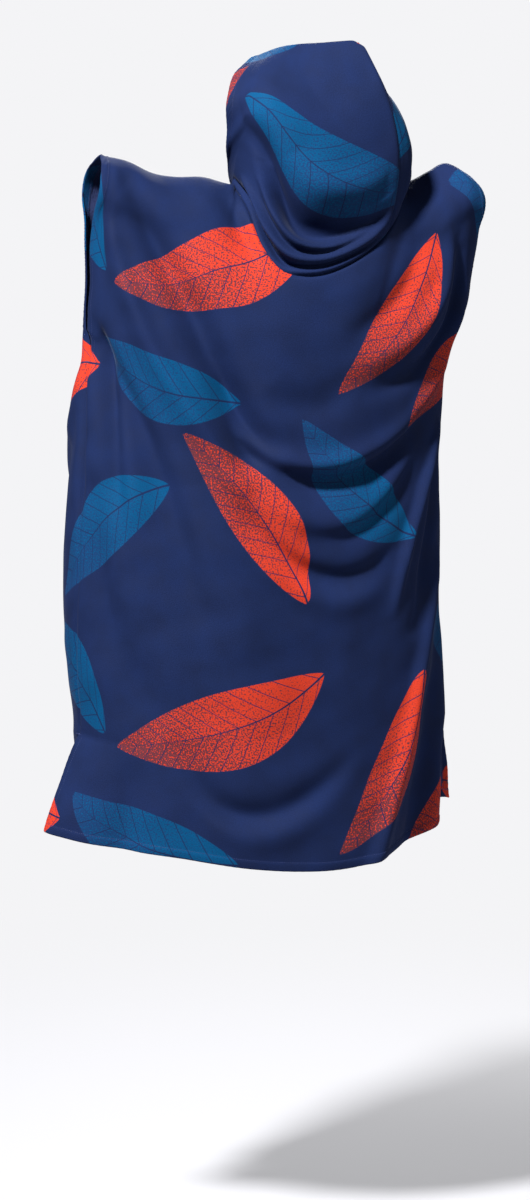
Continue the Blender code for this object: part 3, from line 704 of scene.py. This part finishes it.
def past(place, start, end):
    """How far a place lies outside a stretch of an edge."""
    return np.maximum(np.maximum(start - place, place - end), 0.0)


def travelled(points, axis):
    """How far along the cloth each point lies from the grid's first row or column."""
    steps = np.linalg.norm(np.diff(points, axis=axis), axis=-1)
    start = np.zeros_like(np.take(steps, [0], axis=axis))
    return np.concatenate([start, np.cumsum(steps, axis=axis)], axis=axis)


def body_gaps(points, drop):
    """Each point's distance from the body panel's nearest hem, and from its nearest seam."""
    down, across = travelled(points, 0), travelled(points, 1)
    side = np.minimum(across, across[:, -1:] - across)
    armhole = np.hypot(side, past(drop, 0.0, ARMHOLE))
    slit = np.hypot(side, past(drop, LENGTH - SLIT, LENGTH))
    hem = np.minimum(np.minimum(armhole, slit), down[-1] - down)
    seam = np.minimum(down, np.hypot(side, past(drop, ARMHOLE, LENGTH - SLIT)))
    return hem, seam


def hood_gaps(points):
    """Each point's distance from the hood's hemmed opening, and from its nearest seam."""
    up, across = travelled(points, 0), travelled(points, 1)
    seam = np.minimum(np.minimum(up, up[-1] - up), across[:, -1:] - across)
    return across, seam


def print_fields(places):
    """Where the leaves lie: how deep inside one a place is, and where it is along and across it."""
    fields = {"coral": np.full(places.shape[:-1], -PRINT_FAR)}
    fields["teal"] = fields["coral"].copy()
    nearest = fields["coral"].copy()
    for name in ("spine", "rib", "fade"):
        fields[name] = np.zeros(places.shape[:-1])
    for row in LEAVES:
        leaf = dict(zip(LEAF_COLUMNS, row))
        offset = places - [leaf["round"], leaf["along"]]
        offset = offset - np.round(offset / REPEAT) * REPEAT
        turn = math.radians(leaf["turn"])
        spine = offset @ [math.cos(turn), math.sin(turn)]
        share = spine / leaf["length"] + 0.5
        inside = np.clip(share, 0.0, 1.0)
        bow = leaf["curve"] * 4 * inside * (1 - inside)
        rib = offset @ [-math.sin(turn), math.cos(turn)] - bow
        full = np.sin(math.pi * inside) ** TIP_FULLNESS * (1 + BASE_FULLER * (0.5 - inside))
        beyond = np.abs(share - inside) * leaf["length"]
        reach = leaf["width"] / 2 * full - np.hypot(rib, beyond)
        reach = np.maximum(reach, -PRINT_FAR)
        fields[leaf["tone"]] = np.maximum(fields[leaf["tone"]], reach)
        closer = reach > nearest
        nearest = np.where(closer, reach, nearest)
        for name, value in (("spine", spine), ("rib", rib), ("fade", inside)):
            fields[name] = np.where(closer, value, fields[name])
    return fields


# ---------------------------------------------------------------- the panels and their shells

FACING = {"back": -1, "front": 1, "hood_left": 1, "hood_right": -1}


def cut_panels():
    """Every panel's middle surface, its places on the cloth, and its distances from hem and seam."""
    panels = {}
    for name, side in (("back", 1), ("front", -1)):
        points, places = body_panel(side)
        hem, seam = body_gaps(points, places[..., 1])
        panels[name] = {"points": points, "places": places, "hem": hem, "seam": seam}
    for name, side in (("hood_left", 1), ("hood_right", -1)):
        points, places = hood_panel(side)
        hem, seam = hood_gaps(points)
        printed = places * [side, -1.0] + HOOD_PRINT_SHIFT
        panels[name] = {"points": points, "places": printed, "hem": hem, "seam": seam}
    for name, panel in panels.items():
        panel["normal"] = normals(panel["points"], FACING[name])
        panel["facing"] = FACING[name]
    for name in ("hood_left", "hood_right"):
        # the top and back seams meet in a peak, which is blunt and has no way out of its own
        points = panels[name]["points"]
        peak = points[-1, -1].copy()
        away = np.linalg.norm(points - peak, axis=-1, keepdims=True)
        points += PEAK_BLUNTER * np.exp(-((away / PEAK_REACH) ** 2)) * PEAK_WAY_IN
        panels[name]["normal"][-1, -1] = panels[name]["normal"][-2, -2]
    share_seam_normals(panels)
    return panels


def rim(grid):
    """A grid's border, round from its first row."""
    return np.concatenate([grid[0, :-1], grid[:-1, -1], grid[-1, :0:-1], grid[:0:-1, 0]])


def share_seam_normals(panels):
    """Where panels meet at a seam, their edges lean the same way, so that no gap shows."""
    trees = {}
    for name, panel in panels.items():
        border = rim(panel["points"])
        tree = KDTree(len(border))
        for i, point in enumerate(border):
            tree.insert(point, i)
        tree.balance()
        trees[name] = (tree, rim(panel["normal"]))
    for name, panel in panels.items():
        rows, columns = panel["points"].shape[:2]
        index = rim(np.arange(rows * columns).reshape(rows, columns))
        points, normal = panel["points"].reshape(-1, 3), panel["normal"].reshape(-1, 3)
        joined = normal[index].copy()
        for other, (tree, lean) in trees.items():
            if other == name:
                continue
            for k, point in enumerate(points[index]):
                _, found, gap = tree.find(point)
                joined[k] += float(ease((SEAM_APART - gap) / SEAM_CLOSE)) * lean[found]
        normal[index] = joined / np.linalg.norm(joined, axis=-1, keepdims=True)
        # beside a seam, the cloth turns in straight against the seam's way out
        own, _ = trees[name]
        panel["seam_way"] = panel["normal"].copy()
        way = panel["seam_way"].reshape(-1, 3)
        for k in np.flatnonzero(panel["seam"].reshape(-1) < SEAM_FAR):
            way[k] = normal[index[own.find(points[k])[1]]]


def lay_faces(panel):
    """The cloth's outside and inside: it rolls in at seams, and is doubled and grooved at hems."""
    normal, hem = panel["normal"], panel["hem"]
    relief = seam_roll(panel["seam"]) * (1.0 - np.exp(-((hem / SEAM_REACH) ** 2)))
    doubled = 1.0 - ease((hem - HEM) / HEM_STEP)
    groove = GROOVE_DEPTH * np.exp(-(((hem - STITCH_LINE) / GROOVE_REACH) ** 2))
    points = panel["points"] + panel["seam_way"] * relief[..., None]
    outer = CLOTH / 2 + hem_relief(hem, panel["places"].sum(axis=-1))
    inner = -CLOTH / 2 - CLOTH * doubled + groove
    panel["outside"] = points + normal * outer[..., None]
    panel["inside"] = points + normal * inner[..., None]
    return points, outer - inner


def shell(name, panel, materials):
    """A panel's cloth as a closed thin shell, with the measures that its materials read."""
    points, thick = lay_faces(panel)
    hem = panel["hem"]
    top, under = panel["outside"].reshape(-1, 3), panel["inside"].reshape(-1, 3)
    rows, columns = points.shape[:2]
    count = rows * columns
    index = np.arange(count).reshape(rows, columns)
    quads = np.stack([index[:-1, :-1], index[:-1, 1:], index[1:, 1:], index[1:, :-1]], axis=-1)
    quads = quads.reshape(-1, 4)
    border = rim(index)
    inside = np.concatenate([index[1, :-1], index[:-1, -2], index[-2, :0:-1], index[:0:-1, 1]])
    away = points.reshape(-1, 3)[border] - points.reshape(-1, 3)[inside]
    away /= np.linalg.norm(away, axis=-1, keepdims=True)
    hemmed = np.exp(-((hem.reshape(-1)[border] / SEAM_REACH) ** 2))
    further = FOLD_BULGE * thick.reshape(-1)[border] * hemmed + SEAM_OVERLAP
    middle = (top[border] + under[border]) / 2 + away * further[:, None]

    a, b = border, np.roll(border, -1)
    m = np.arange(len(border)) + 2 * count
    n = np.roll(m, -1)
    faces = np.concatenate([
        quads,
        np.stack([b, a, m, n], axis=-1),
        np.stack([n, m, a + count, b + count], axis=-1),
        quads[:, ::-1] + count,
    ])
    if panel["facing"] < 0:
        faces = faces[:, ::-1]
    mesh = bpy.data.meshes.new(name + "_cloth")
    mesh.from_pydata(np.concatenate([top, under, middle]).tolist(), [], faces.tolist())
    mesh.shade_smooth()
    for material in materials:
        mesh.materials.append(material)
    in_band = hem.reshape(-1)[quads].mean(axis=-1) < HEM + HEM_STEP
    finish = np.zeros(len(faces), dtype=np.int32)
    finish[-len(quads):] = np.where(in_band, 0, 1)
    mesh.polygons.foreach_set("material_index", finish)

    def everywhere(values):
        flat = values.reshape(count, -1)
        return np.concatenate([flat, flat, flat[border]])

    for field, values in print_fields(panel["places"]).items():
        attribute = mesh.attributes.new(field, "FLOAT", "POINT")
        attribute.data.foreach_set("value", everywhere(values).ravel())
    corners = np.empty(len(mesh.loops), dtype=np.int32)
    mesh.loops.foreach_get("vertex_index", corners)
    measure = mesh.uv_layers.new(name="cloth")
    measure.data.foreach_set("uv", everywhere(panel["places"])[corners].ravel())
    return placed(name + "_cloth", mesh)


# ---------------------------------------------------------------- materials


def colour(code):
    """An sRGB hex value as the linear colour that a shader takes."""
    parts = [int(code[i:i + 2], 16) / 255 for i in (1, 3, 5)]
    linear = [c / 12.92 if c <= 0.04045 else ((c + 0.055) / 1.055) ** 2.4 for c in parts]
    return (*linear, 1.0)


def add(tree, kind, feeds=(), **settings):
    """Adds a node with its settings, feeds its open inputs with sockets or values in their order
    or by name, and gives its first open output."""
    made = tree.nodes.new(kind)
    for name, value in settings.items():
        setattr(made, name, value)
    sockets = [socket for socket in made.inputs if socket.enabled]
    named = {socket.name: socket for socket in reversed(sockets)}
    for key, value in feeds.items() if isinstance(feeds, dict) else enumerate(feeds):
        socket = sockets[key] if isinstance(key, int) else named[key]
        if isinstance(value, bpy.types.NodeSocket):
            tree.links.new(value, socket)
        elif value is not None:
            socket.default_value = value
    return next((socket for socket in made.outputs if socket.enabled), None)


def new_material(name):
    material = bpy.data.materials.new(name)
    material.use_nodes = True
    tree = material.node_tree
    tree.nodes.clear()
    return material, tree


NAVY = "#1A2A56"
NAVY_DEEP = "#152143"
CORAL = "#D23D27"
CORAL_GRAIN = "#68313A"
TEAL = "#004B78"
TEAL_GRAIN = "#153A68"
REVERSE = "#36406C"
REVERSE_PAINTED_SHADE = "#232A4C"
THREAD = "#2E3C78"

# Sizes of what shows in the cloth, in metres: the print's grains, patches where the nap lies this
# way or that, the nap's own tufts (drawn at twice their size, to show) with the darkest painted
# shade between them, and the patches' roughness, the span of a noise that is used, the reverse's
# loops and the thread's twist
GRAIN = 0.0024
MOTTLE = 0.045
NAP = 0.0016
NAP_HEIGHT = 0.0004
NAP_SHADE_DARKEST = 0.78
NAP_ROUGHNESS = (0.74, 0.86)
NOISE_SPAN = (0.3, 0.7)
LOOP = 0.0026
LOOP_HEIGHT = 0.0006
TWIST = 0.0006

# How fully a leaf is printed at its base and at its tip, where along it that changes, how much
# sparser one half is, and how soft the grains' edges are
SOLID = 0.72
SPARSE = 0.40
FADE_START = 0.08
FADE_END = 0.88
HALF_SPARSER = 0.06
GRAIN_SOFT = 0.03


def printed_towelling():
    """Brushed face of polyester microfibre towelling, printed by heat transfer: its short nap is
    matt with a faint sheen towards the rim, and the print fades out in grains."""
    material, tree = new_material("printed_microfibre_towelling")
    coral, teal, spine, rib, fade = (
        add(tree, "ShaderNodeAttribute", attribute_name=name).node.outputs["Fac"]
        for name in ("coral", "teal", "spine", "rib", "fade"))
    cloth = add(tree, "ShaderNodeUVMap", uv_map="cloth")

    # each leaf has a midrib in navy, which thins towards the tip, and veins that slope off it
    beside = add(tree, "ShaderNodeMath", (rib,), operation="ABSOLUTE")
    thinner = add(tree, "ShaderNodeMath", (fade, MIDRIB / 2, -MIDRIB / 2), operation="MULTIPLY_ADD")
    off_rib = add(tree, "ShaderNodeMath", (beside, thinner), operation="ADD")
    rib_drawn = add(tree, "ShaderNodeMapRange", (off_rib, -PRINT_EDGE, PRINT_EDGE),
                    interpolation_type="SMOOTHSTEP")
    sloped = add(tree, "ShaderNodeMath", (beside, -VEIN_SLOPE, spine), operation="MULTIPLY_ADD")
    to_vein = add(tree, "ShaderNodeMath", (sloped, VEIN_PITCH / 2), operation="PINGPONG")
    vein_drawn = add(tree, "ShaderNodeMapRange",
                     (to_vein, VEIN / 2 - PRINT_EDGE, VEIN / 2 + PRINT_EDGE),
                     interpolation_type="SMOOTHSTEP")
    drawn = add(tree, "ShaderNodeMath", (rib_drawn, vein_drawn), operation="MULTIPLY")

    # the print is solid at the leaf's base and breaks up into grains, one half before the other
    grains = add(tree, "ShaderNodeTexNoise", (cloth, 1 / GRAIN, 1.0), noise_dimensions="2D")
    cover = add(tree, "ShaderNodeMapRange", (fade, FADE_START, FADE_END, SOLID, SPARSE))
    half = add(tree, "ShaderNodeMath", (rib, 0.0), operation="GREATER_THAN")
    cover = add(tree, "ShaderNodeMath", (half, -HALF_SPARSER, cover), operation="MULTIPLY_ADD")
    filled = add(tree, "ShaderNodeMath", (cover, grains), operation="SUBTRACT")
    filled = add(tree, "ShaderNodeMapRange", (filled, -GRAIN_SOFT, GRAIN_SOFT),
                 interpolation_type="SMOOTHSTEP")

    # the navy ground, mottled where the nap lies this way and that
    nap_lie = add(tree, "ShaderNodeTexNoise", (cloth, 1 / MOTTLE, 3.0), noise_dimensions="2D")
    ground = add(tree, "ShaderNodeMix", (nap_lie, colour(NAVY_DEEP), colour(NAVY)),
                 data_type="RGBA")
    shown = ground
    for reach, full, grain in ((coral, CORAL, CORAL_GRAIN), (teal, TEAL, TEAL_GRAIN)):
        tone = add(tree, "ShaderNodeMix", (filled, colour(grain), colour(full)), data_type="RGBA")
        inside = add(tree, "ShaderNodeMapRange", (reach, -PRINT_EDGE, PRINT_EDGE),
                     interpolation_type="SMOOTHSTEP")
        inside = add(tree, "ShaderNodeMath", (inside, drawn), operation="MULTIPLY")
        shown = add(tree, "ShaderNodeMix", (inside, shown, tone), data_type="RGBA")

    # painted shade: between its tufts, where the nap's bump sinks, the colour is darker
    tufts = add(tree, "ShaderNodeTexNoise", (cloth, 1 / NAP, 2.0), noise_dimensions="2D")
    tuft_painted_shade = add(tree, "ShaderNodeMapRange", (tufts, *NOISE_SPAN, NAP_SHADE_DARKEST, 1.0))
    shown = add(tree, "ShaderNodeMix", (1.0, shown, tuft_painted_shade), data_type="RGBA",
                blend_type="MULTIPLY")
    tufted = add(tree, "ShaderNodeBump",
                 {"Strength": 0.5, "Distance": NAP_HEIGHT, "Height": tufts})
    rough = add(tree, "ShaderNodeMapRange", (nap_lie, *NOISE_SPAN, *NAP_ROUGHNESS))
    surface = add(tree, "ShaderNodeBsdfPrincipled", {
        "Base Color": shown, "Roughness": rough, "Normal": tufted, "IOR": 1.5,
        "Specular IOR Level": 0.10, "Sheen Weight": 0.07, "Sheen Roughness": 0.3,
        "Sheen Tint": colour("#C9D2F2")})
    add(tree, "ShaderNodeOutputMaterial", (surface,))
    return material


def looped_reverse():
    """Unprinted back of the same towelling: deep navy loops, rougher and without sheen."""
    material, tree = new_material("looped_microfibre_reverse")
    cloth = add(tree, "ShaderNodeUVMap", uv_map="cloth")
    loops = add(tree, "ShaderNodeTexVoronoi", (cloth, 1 / LOOP), voronoi_dimensions="2D")
    # painted shade: the colour darkens towards the sunken rims of the loops
    shown = add(tree, "ShaderNodeMix", (loops, colour(REVERSE), colour(REVERSE_PAINTED_SHADE)),
                data_type="RGBA")
    looped = add(tree, "ShaderNodeBump", {"Strength": 0.7, "Distance": LOOP_HEIGHT,
                                          "Height": loops}, invert=True)
    surface = add(tree, "ShaderNodeBsdfPrincipled", {
        "Base Color": shown, "Roughness": 0.95, "Normal": looped, "IOR": 1.5,
        "Specular IOR Level": 0.2})
    add(tree, "ShaderNodeOutputMaterial", (surface,))
    return material


def sewing_thread():
    """Spun polyester thread: navy with a slight gloss, twisted, so that it is faintly ribbed."""
    material, tree = new_material("spun_polyester_thread")
    place = add(tree, "ShaderNodeTexCoord").node.outputs["Object"]
    twist = add(tree, "ShaderNodeTexNoise", (place, 1 / TWIST, 1.0))
    ribbed = add(tree, "ShaderNodeBump", {"Strength": 0.5, "Distance": TWIST / 3,
                                          "Height": twist})
    # painted shade: the thread turns deep navy where its twist sinks
    shown = add(tree, "ShaderNodeMix", (twist, colour(NAVY_DEEP), colour(THREAD)),
                data_type="RGBA")
    surface = add(tree, "ShaderNodeBsdfPrincipled", {
        "Base Color": shown, "Roughness": 0.5, "Normal": ribbed, "IOR": 1.55,
        "Specular IOR Level": 0.4})
    add(tree, "ShaderNodeOutputMaterial", (surface,))
    return material


# ---------------------------------------------------------------- sewing


def sewing_tree():
    """Geometry Nodes: rows of stitches along edges that carry the way out of the cloth."""
    tree = bpy.data.node_groups.new("rows_of_stitches", "GeometryNodeTree")
    tree.interface.new_socket("Rows", in_out="INPUT", socket_type="NodeSocketGeometry")
    for name, value in (("Pitch", STITCH_PITCH), ("Length", STITCH_LENGTH),
                        ("Thickness", THREAD_SIZE), ("Slant", 0.0)):
        made = tree.interface.new_socket(name, in_out="INPUT", socket_type="NodeSocketFloat")
        made.default_value = value
    tree.interface.new_socket("Thread", in_out="INPUT", socket_type="NodeSocketMaterial")
    tree.interface.new_socket("Stitches", in_out="OUTPUT", socket_type="NodeSocketGeometry")
    given = add(tree, "NodeGroupInput").node.outputs
    rows = add(tree, "GeometryNodeMeshToCurve", (given["Rows"],))
    rows = add(tree, "GeometryNodeResampleCurve", {"Curve": rows, "Length": given["Pitch"]},
               mode="LENGTH")
    way_out = add(tree, "GeometryNodeInputNamedAttribute", ("out",), data_type="FLOAT_VECTOR")
    tangent = add(tree, "GeometryNodeInputTangent")
    turned = add(tree, "FunctionNodeAxesToRotation", (tangent, way_out),
                 primary_axis="X", secondary_axis="Z")
    slant = add(tree, "ShaderNodeCombineXYZ", {"Z": given["Slant"]})
    slant = add(tree, "FunctionNodeEulerToRotation", (slant,))
    turned = add(tree, "FunctionNodeRotateRotation", (turned, slant), rotation_space="LOCAL")
    size = add(tree, "ShaderNodeCombineXYZ",
               (given["Length"], given["Thickness"], given["Thickness"]))
    stitch = add(tree, "GeometryNodeMeshUVSphere", (THREAD_SEGMENTS, THREAD_RINGS, 0.5))
    stitch = add(tree, "GeometryNodeTransform", {"Geometry": stitch, "Scale": size})
    sewn = add(tree, "GeometryNodeInstanceOnPoints",
               {"Points": rows, "Instance": stitch, "Rotation": turned})
    sewn = add(tree, "GeometryNodeRealizeInstances", (sewn,))
    sewn = add(tree, "GeometryNodeSetShadeSmooth", (sewn,))
    sewn = add(tree, "GeometryNodeSetMaterial", {"Geometry": sewn, "Material": given["Thread"]})
    add(tree, "NodeGroupOutput", (sewn,))
    return tree


def at_gap(gap, wanted, values):
    """Values of a grid's rows where the distance from their first column first is as wanted."""
    found = []
    for distances, row in zip(gap, values):
        k = max(int(np.argmax(distances >= wanted)), 1)
        s = (wanted - distances[k - 1]) / (distances[k] - distances[k - 1])
        found.append(row[k - 1] + s * (row[k] - row[k - 1]))
    return np.array(found)


def hem_rows(name, panel, face, away):
    """Rows of sewing so far from a panel's hems, on one of its faces: points and ways out."""
    points = panel[face]
    way_out = panel["normal"] if face == "outside" else -panel["normal"]
    down, across = travelled(points, 0), travelled(points, 1)
    both = np.concatenate([points, way_out], axis=-1)
    if name.startswith("hood"):
        return [at_gap(across, away, both)]
    drop = panel["places"][..., 1]
    rows = [at_gap((down[-1] - down)[::-1].T, away, both[::-1].transpose(1, 0, 2))]
    from_right = (across[:, -1:] - across)[:, ::-1]
    for gap, grid, side_drop in ((across, both, drop[:, 0]), (from_right, both[:, ::-1], drop[:, -1])):
        line = at_gap(gap, away, grid)
        rows.append(line[side_drop < ARMHOLE])
        rows.append(line[(side_drop > LENGTH - SLIT) & (side_drop < LENGTH - away)])
    return rows


def tack_rows(panel):
    """Where the armholes and slits end at a side seam: rows that run from the seam."""
    points, drop = panel["outside"], panel["places"][..., 1]
    across = travelled(points, 1)
    both = np.concatenate([points, panel["normal"]], axis=-1)
    rows = []
    for gap, edge in ((across, 0), (across[:, -1:] - across, -1)):
        for end in (ARMHOLE, LENGTH - SLIT):
            row = int(np.abs(drop[:, edge] - end).argmin())
            rows.append(both[row][gap[row] < TACK_REACH])
    return rows


def stitched(name, rows, tree, material, **sizes):
    """Rows of points and ways out as one piece of stitches."""
    mesh = bpy.data.meshes.new(name)
    points = np.concatenate([row[:, :3] for row in rows])
    ends = np.cumsum([len(row) for row in rows])
    edges = [(i, i + 1) for i in range(len(points) - 1) if i + 1 not in ends]
    mesh.from_pydata(points.tolist(), edges, [])
    way = mesh.attributes.new("out", "FLOAT_VECTOR", "POINT")
    way.data.foreach_set("vector", np.concatenate([row[:, 3:] for row in rows]).ravel())
    guide = placed(name + "_guide", mesh)
    modifier = guide.modifiers.new("sewing", "NODES")
    modifier.node_group = tree
    for socket in tree.interface.items_tree:
        if socket.in_out == "INPUT" and socket.name in sizes:
            modifier[socket.identifier] = sizes[socket.name]
        if socket.name == "Thread":
            modifier[socket.identifier] = material
    sewn = bpy.data.meshes.new_from_object(guide.evaluated_get(
        bpy.context.evaluated_depsgraph_get()))
    sewn.name = name
    bpy.data.objects.remove(guide)
    return placed(name, sewn)


# ---------------------------------------------------------------- the stage


def room_strength(tree):
    """The room is bright to the camera, and lights the cloth only a little."""
    seen = add(tree, "ShaderNodeLightPath").node.outputs["Is Camera Ray"]
    return add(tree, "ShaderNodeMix", (seen, ROOM_LIGHT, 1.0), data_type="FLOAT")


def studio():
    """A pale floor that melts into a pale room, a soft key light and two softer fills."""
    world = bpy.data.worlds.new("pale_room")
    bpy.context.scene.world = world
    world.use_nodes = True
    tree = world.node_tree
    tree.nodes.clear()
    room = add(tree, "ShaderNodeBackground", (colour(ROOM), room_strength(tree)))
    add(tree, "ShaderNodeOutputWorld", (room,))

    material, tree = new_material("pale_painted_floor")
    place = add(tree, "ShaderNodeTexCoord").node.outputs["Object"]
    away = add(tree, "ShaderNodeVectorMath", (place,), operation="LENGTH").node.outputs["Value"]
    far = add(tree, "ShaderNodeMapRange", (away, FLOOR_CLEAR, FLOOR_GONE),
              interpolation_type="SMOOTHSTEP")
    paint = add(tree, "ShaderNodeBsdfPrincipled", {"Base Color": colour(FLOOR), "Roughness": 0.7})
    glow = add(tree, "ShaderNodeEmission", (colour(ROOM), room_strength(tree)))
    floor_look = add(tree, "ShaderNodeMixShader", (far, paint, glow))
    add(tree, "ShaderNodeOutputMaterial", (floor_look,))
    mesh = bpy.data.meshes.new("floor")
    turns = np.linspace(0.0, 2 * math.pi, FLOOR_SIDES, endpoint=False)
    ring = [(FLOOR_RADIUS * math.cos(t), FLOOR_RADIUS * math.sin(t), 0.0) for t in turns]
    mesh.from_pydata(ring, [], [list(range(len(ring)))])
    mesh.materials.append(material)
    floor = placed("floor", mesh)
    floor.location = (0.0, 0.0, FLOOR_LEVEL)

    for name, place, size, power in LIGHTS:
        light = bpy.data.lights.new(name, "AREA")
        light.shape = "DISK"
        light.size = size
        light.energy = power
        lamp = placed(name, light)
        lamp.location = place
        aim = Vector(LIT_POINT) - lamp.location
        lamp.rotation_euler = aim.to_track_quat("-Z", "Y").to_euler()


def camera():
    """A long lens from behind, a little to the wearer's left and above."""
    right = Vector((-math.cos(CAMERA_TURN), math.sin(CAMERA_TURN), 0.0))
    back = Vector((math.sin(CAMERA_TURN) * math.cos(CAMERA_RISE),
                   math.cos(CAMERA_TURN) * math.cos(CAMERA_RISE), math.sin(CAMERA_RISE)))
    aim = right * ((IMAGE_WIDTH / 2 - ORIGIN_PIXEL[0]) * METRES_PER_PIXEL)
    aim.z -= (IMAGE_HEIGHT / 2 - ORIGIN_PIXEL[1]) * METRES_PER_PIXEL
    data = bpy.data.cameras.new("view_from_behind")
    data.sensor_width = SENSOR
    data.lens = SENSOR * CAMERA_DISTANCE / METRES_PER_PIXEL / IMAGE_HEIGHT
    made = placed("view_from_behind", data)
    up = back.cross(right)
    turn = Matrix((right, up, back)).transposed()
    made.matrix_world = Matrix.Translation(aim + back * CAMERA_DISTANCE) @ turn.to_4x4()
    bpy.context.scene.camera = made


# ---------------------------------------------------------------- the garment is put together

camera()
studio()
bpy.context.scene.view_settings.view_transform = "Standard"

printed, reverse, thread = printed_towelling(), looped_reverse(), sewing_thread()
rows_of_stitches = sewing_tree()
for name, panel in cut_panels().items():
    piece = shell(name, panel, (printed, reverse))
    hemmed = hem_rows(name, panel, "outside", STITCH_LINE)
    hemmed += hem_rows(name, panel, "inside", STITCH_LINE)
    overlocked = hem_rows(name, panel, "inside", OVERLOCK_LINE)
    sewing = [
        stitched(name + "_stitches", hemmed, rows_of_stitches, thread),
        stitched(name + "_overlock", overlocked, rows_of_stitches, thread,
                 Pitch=OVERLOCK_PITCH, Length=OVERLOCK_LENGTH, Slant=OVERLOCK_SLANT),
    ]
    if name in ("back", "front"):
        sewing.append(stitched(
            name + "_tacks", tack_rows(panel), rows_of_stitches, thread,
            Pitch=TACK_PITCH, Length=TACK_LENGTH, Slant=TACK_SLANT))
    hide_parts(name)
    for part in (piece, *sewing):
        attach(part, "root")
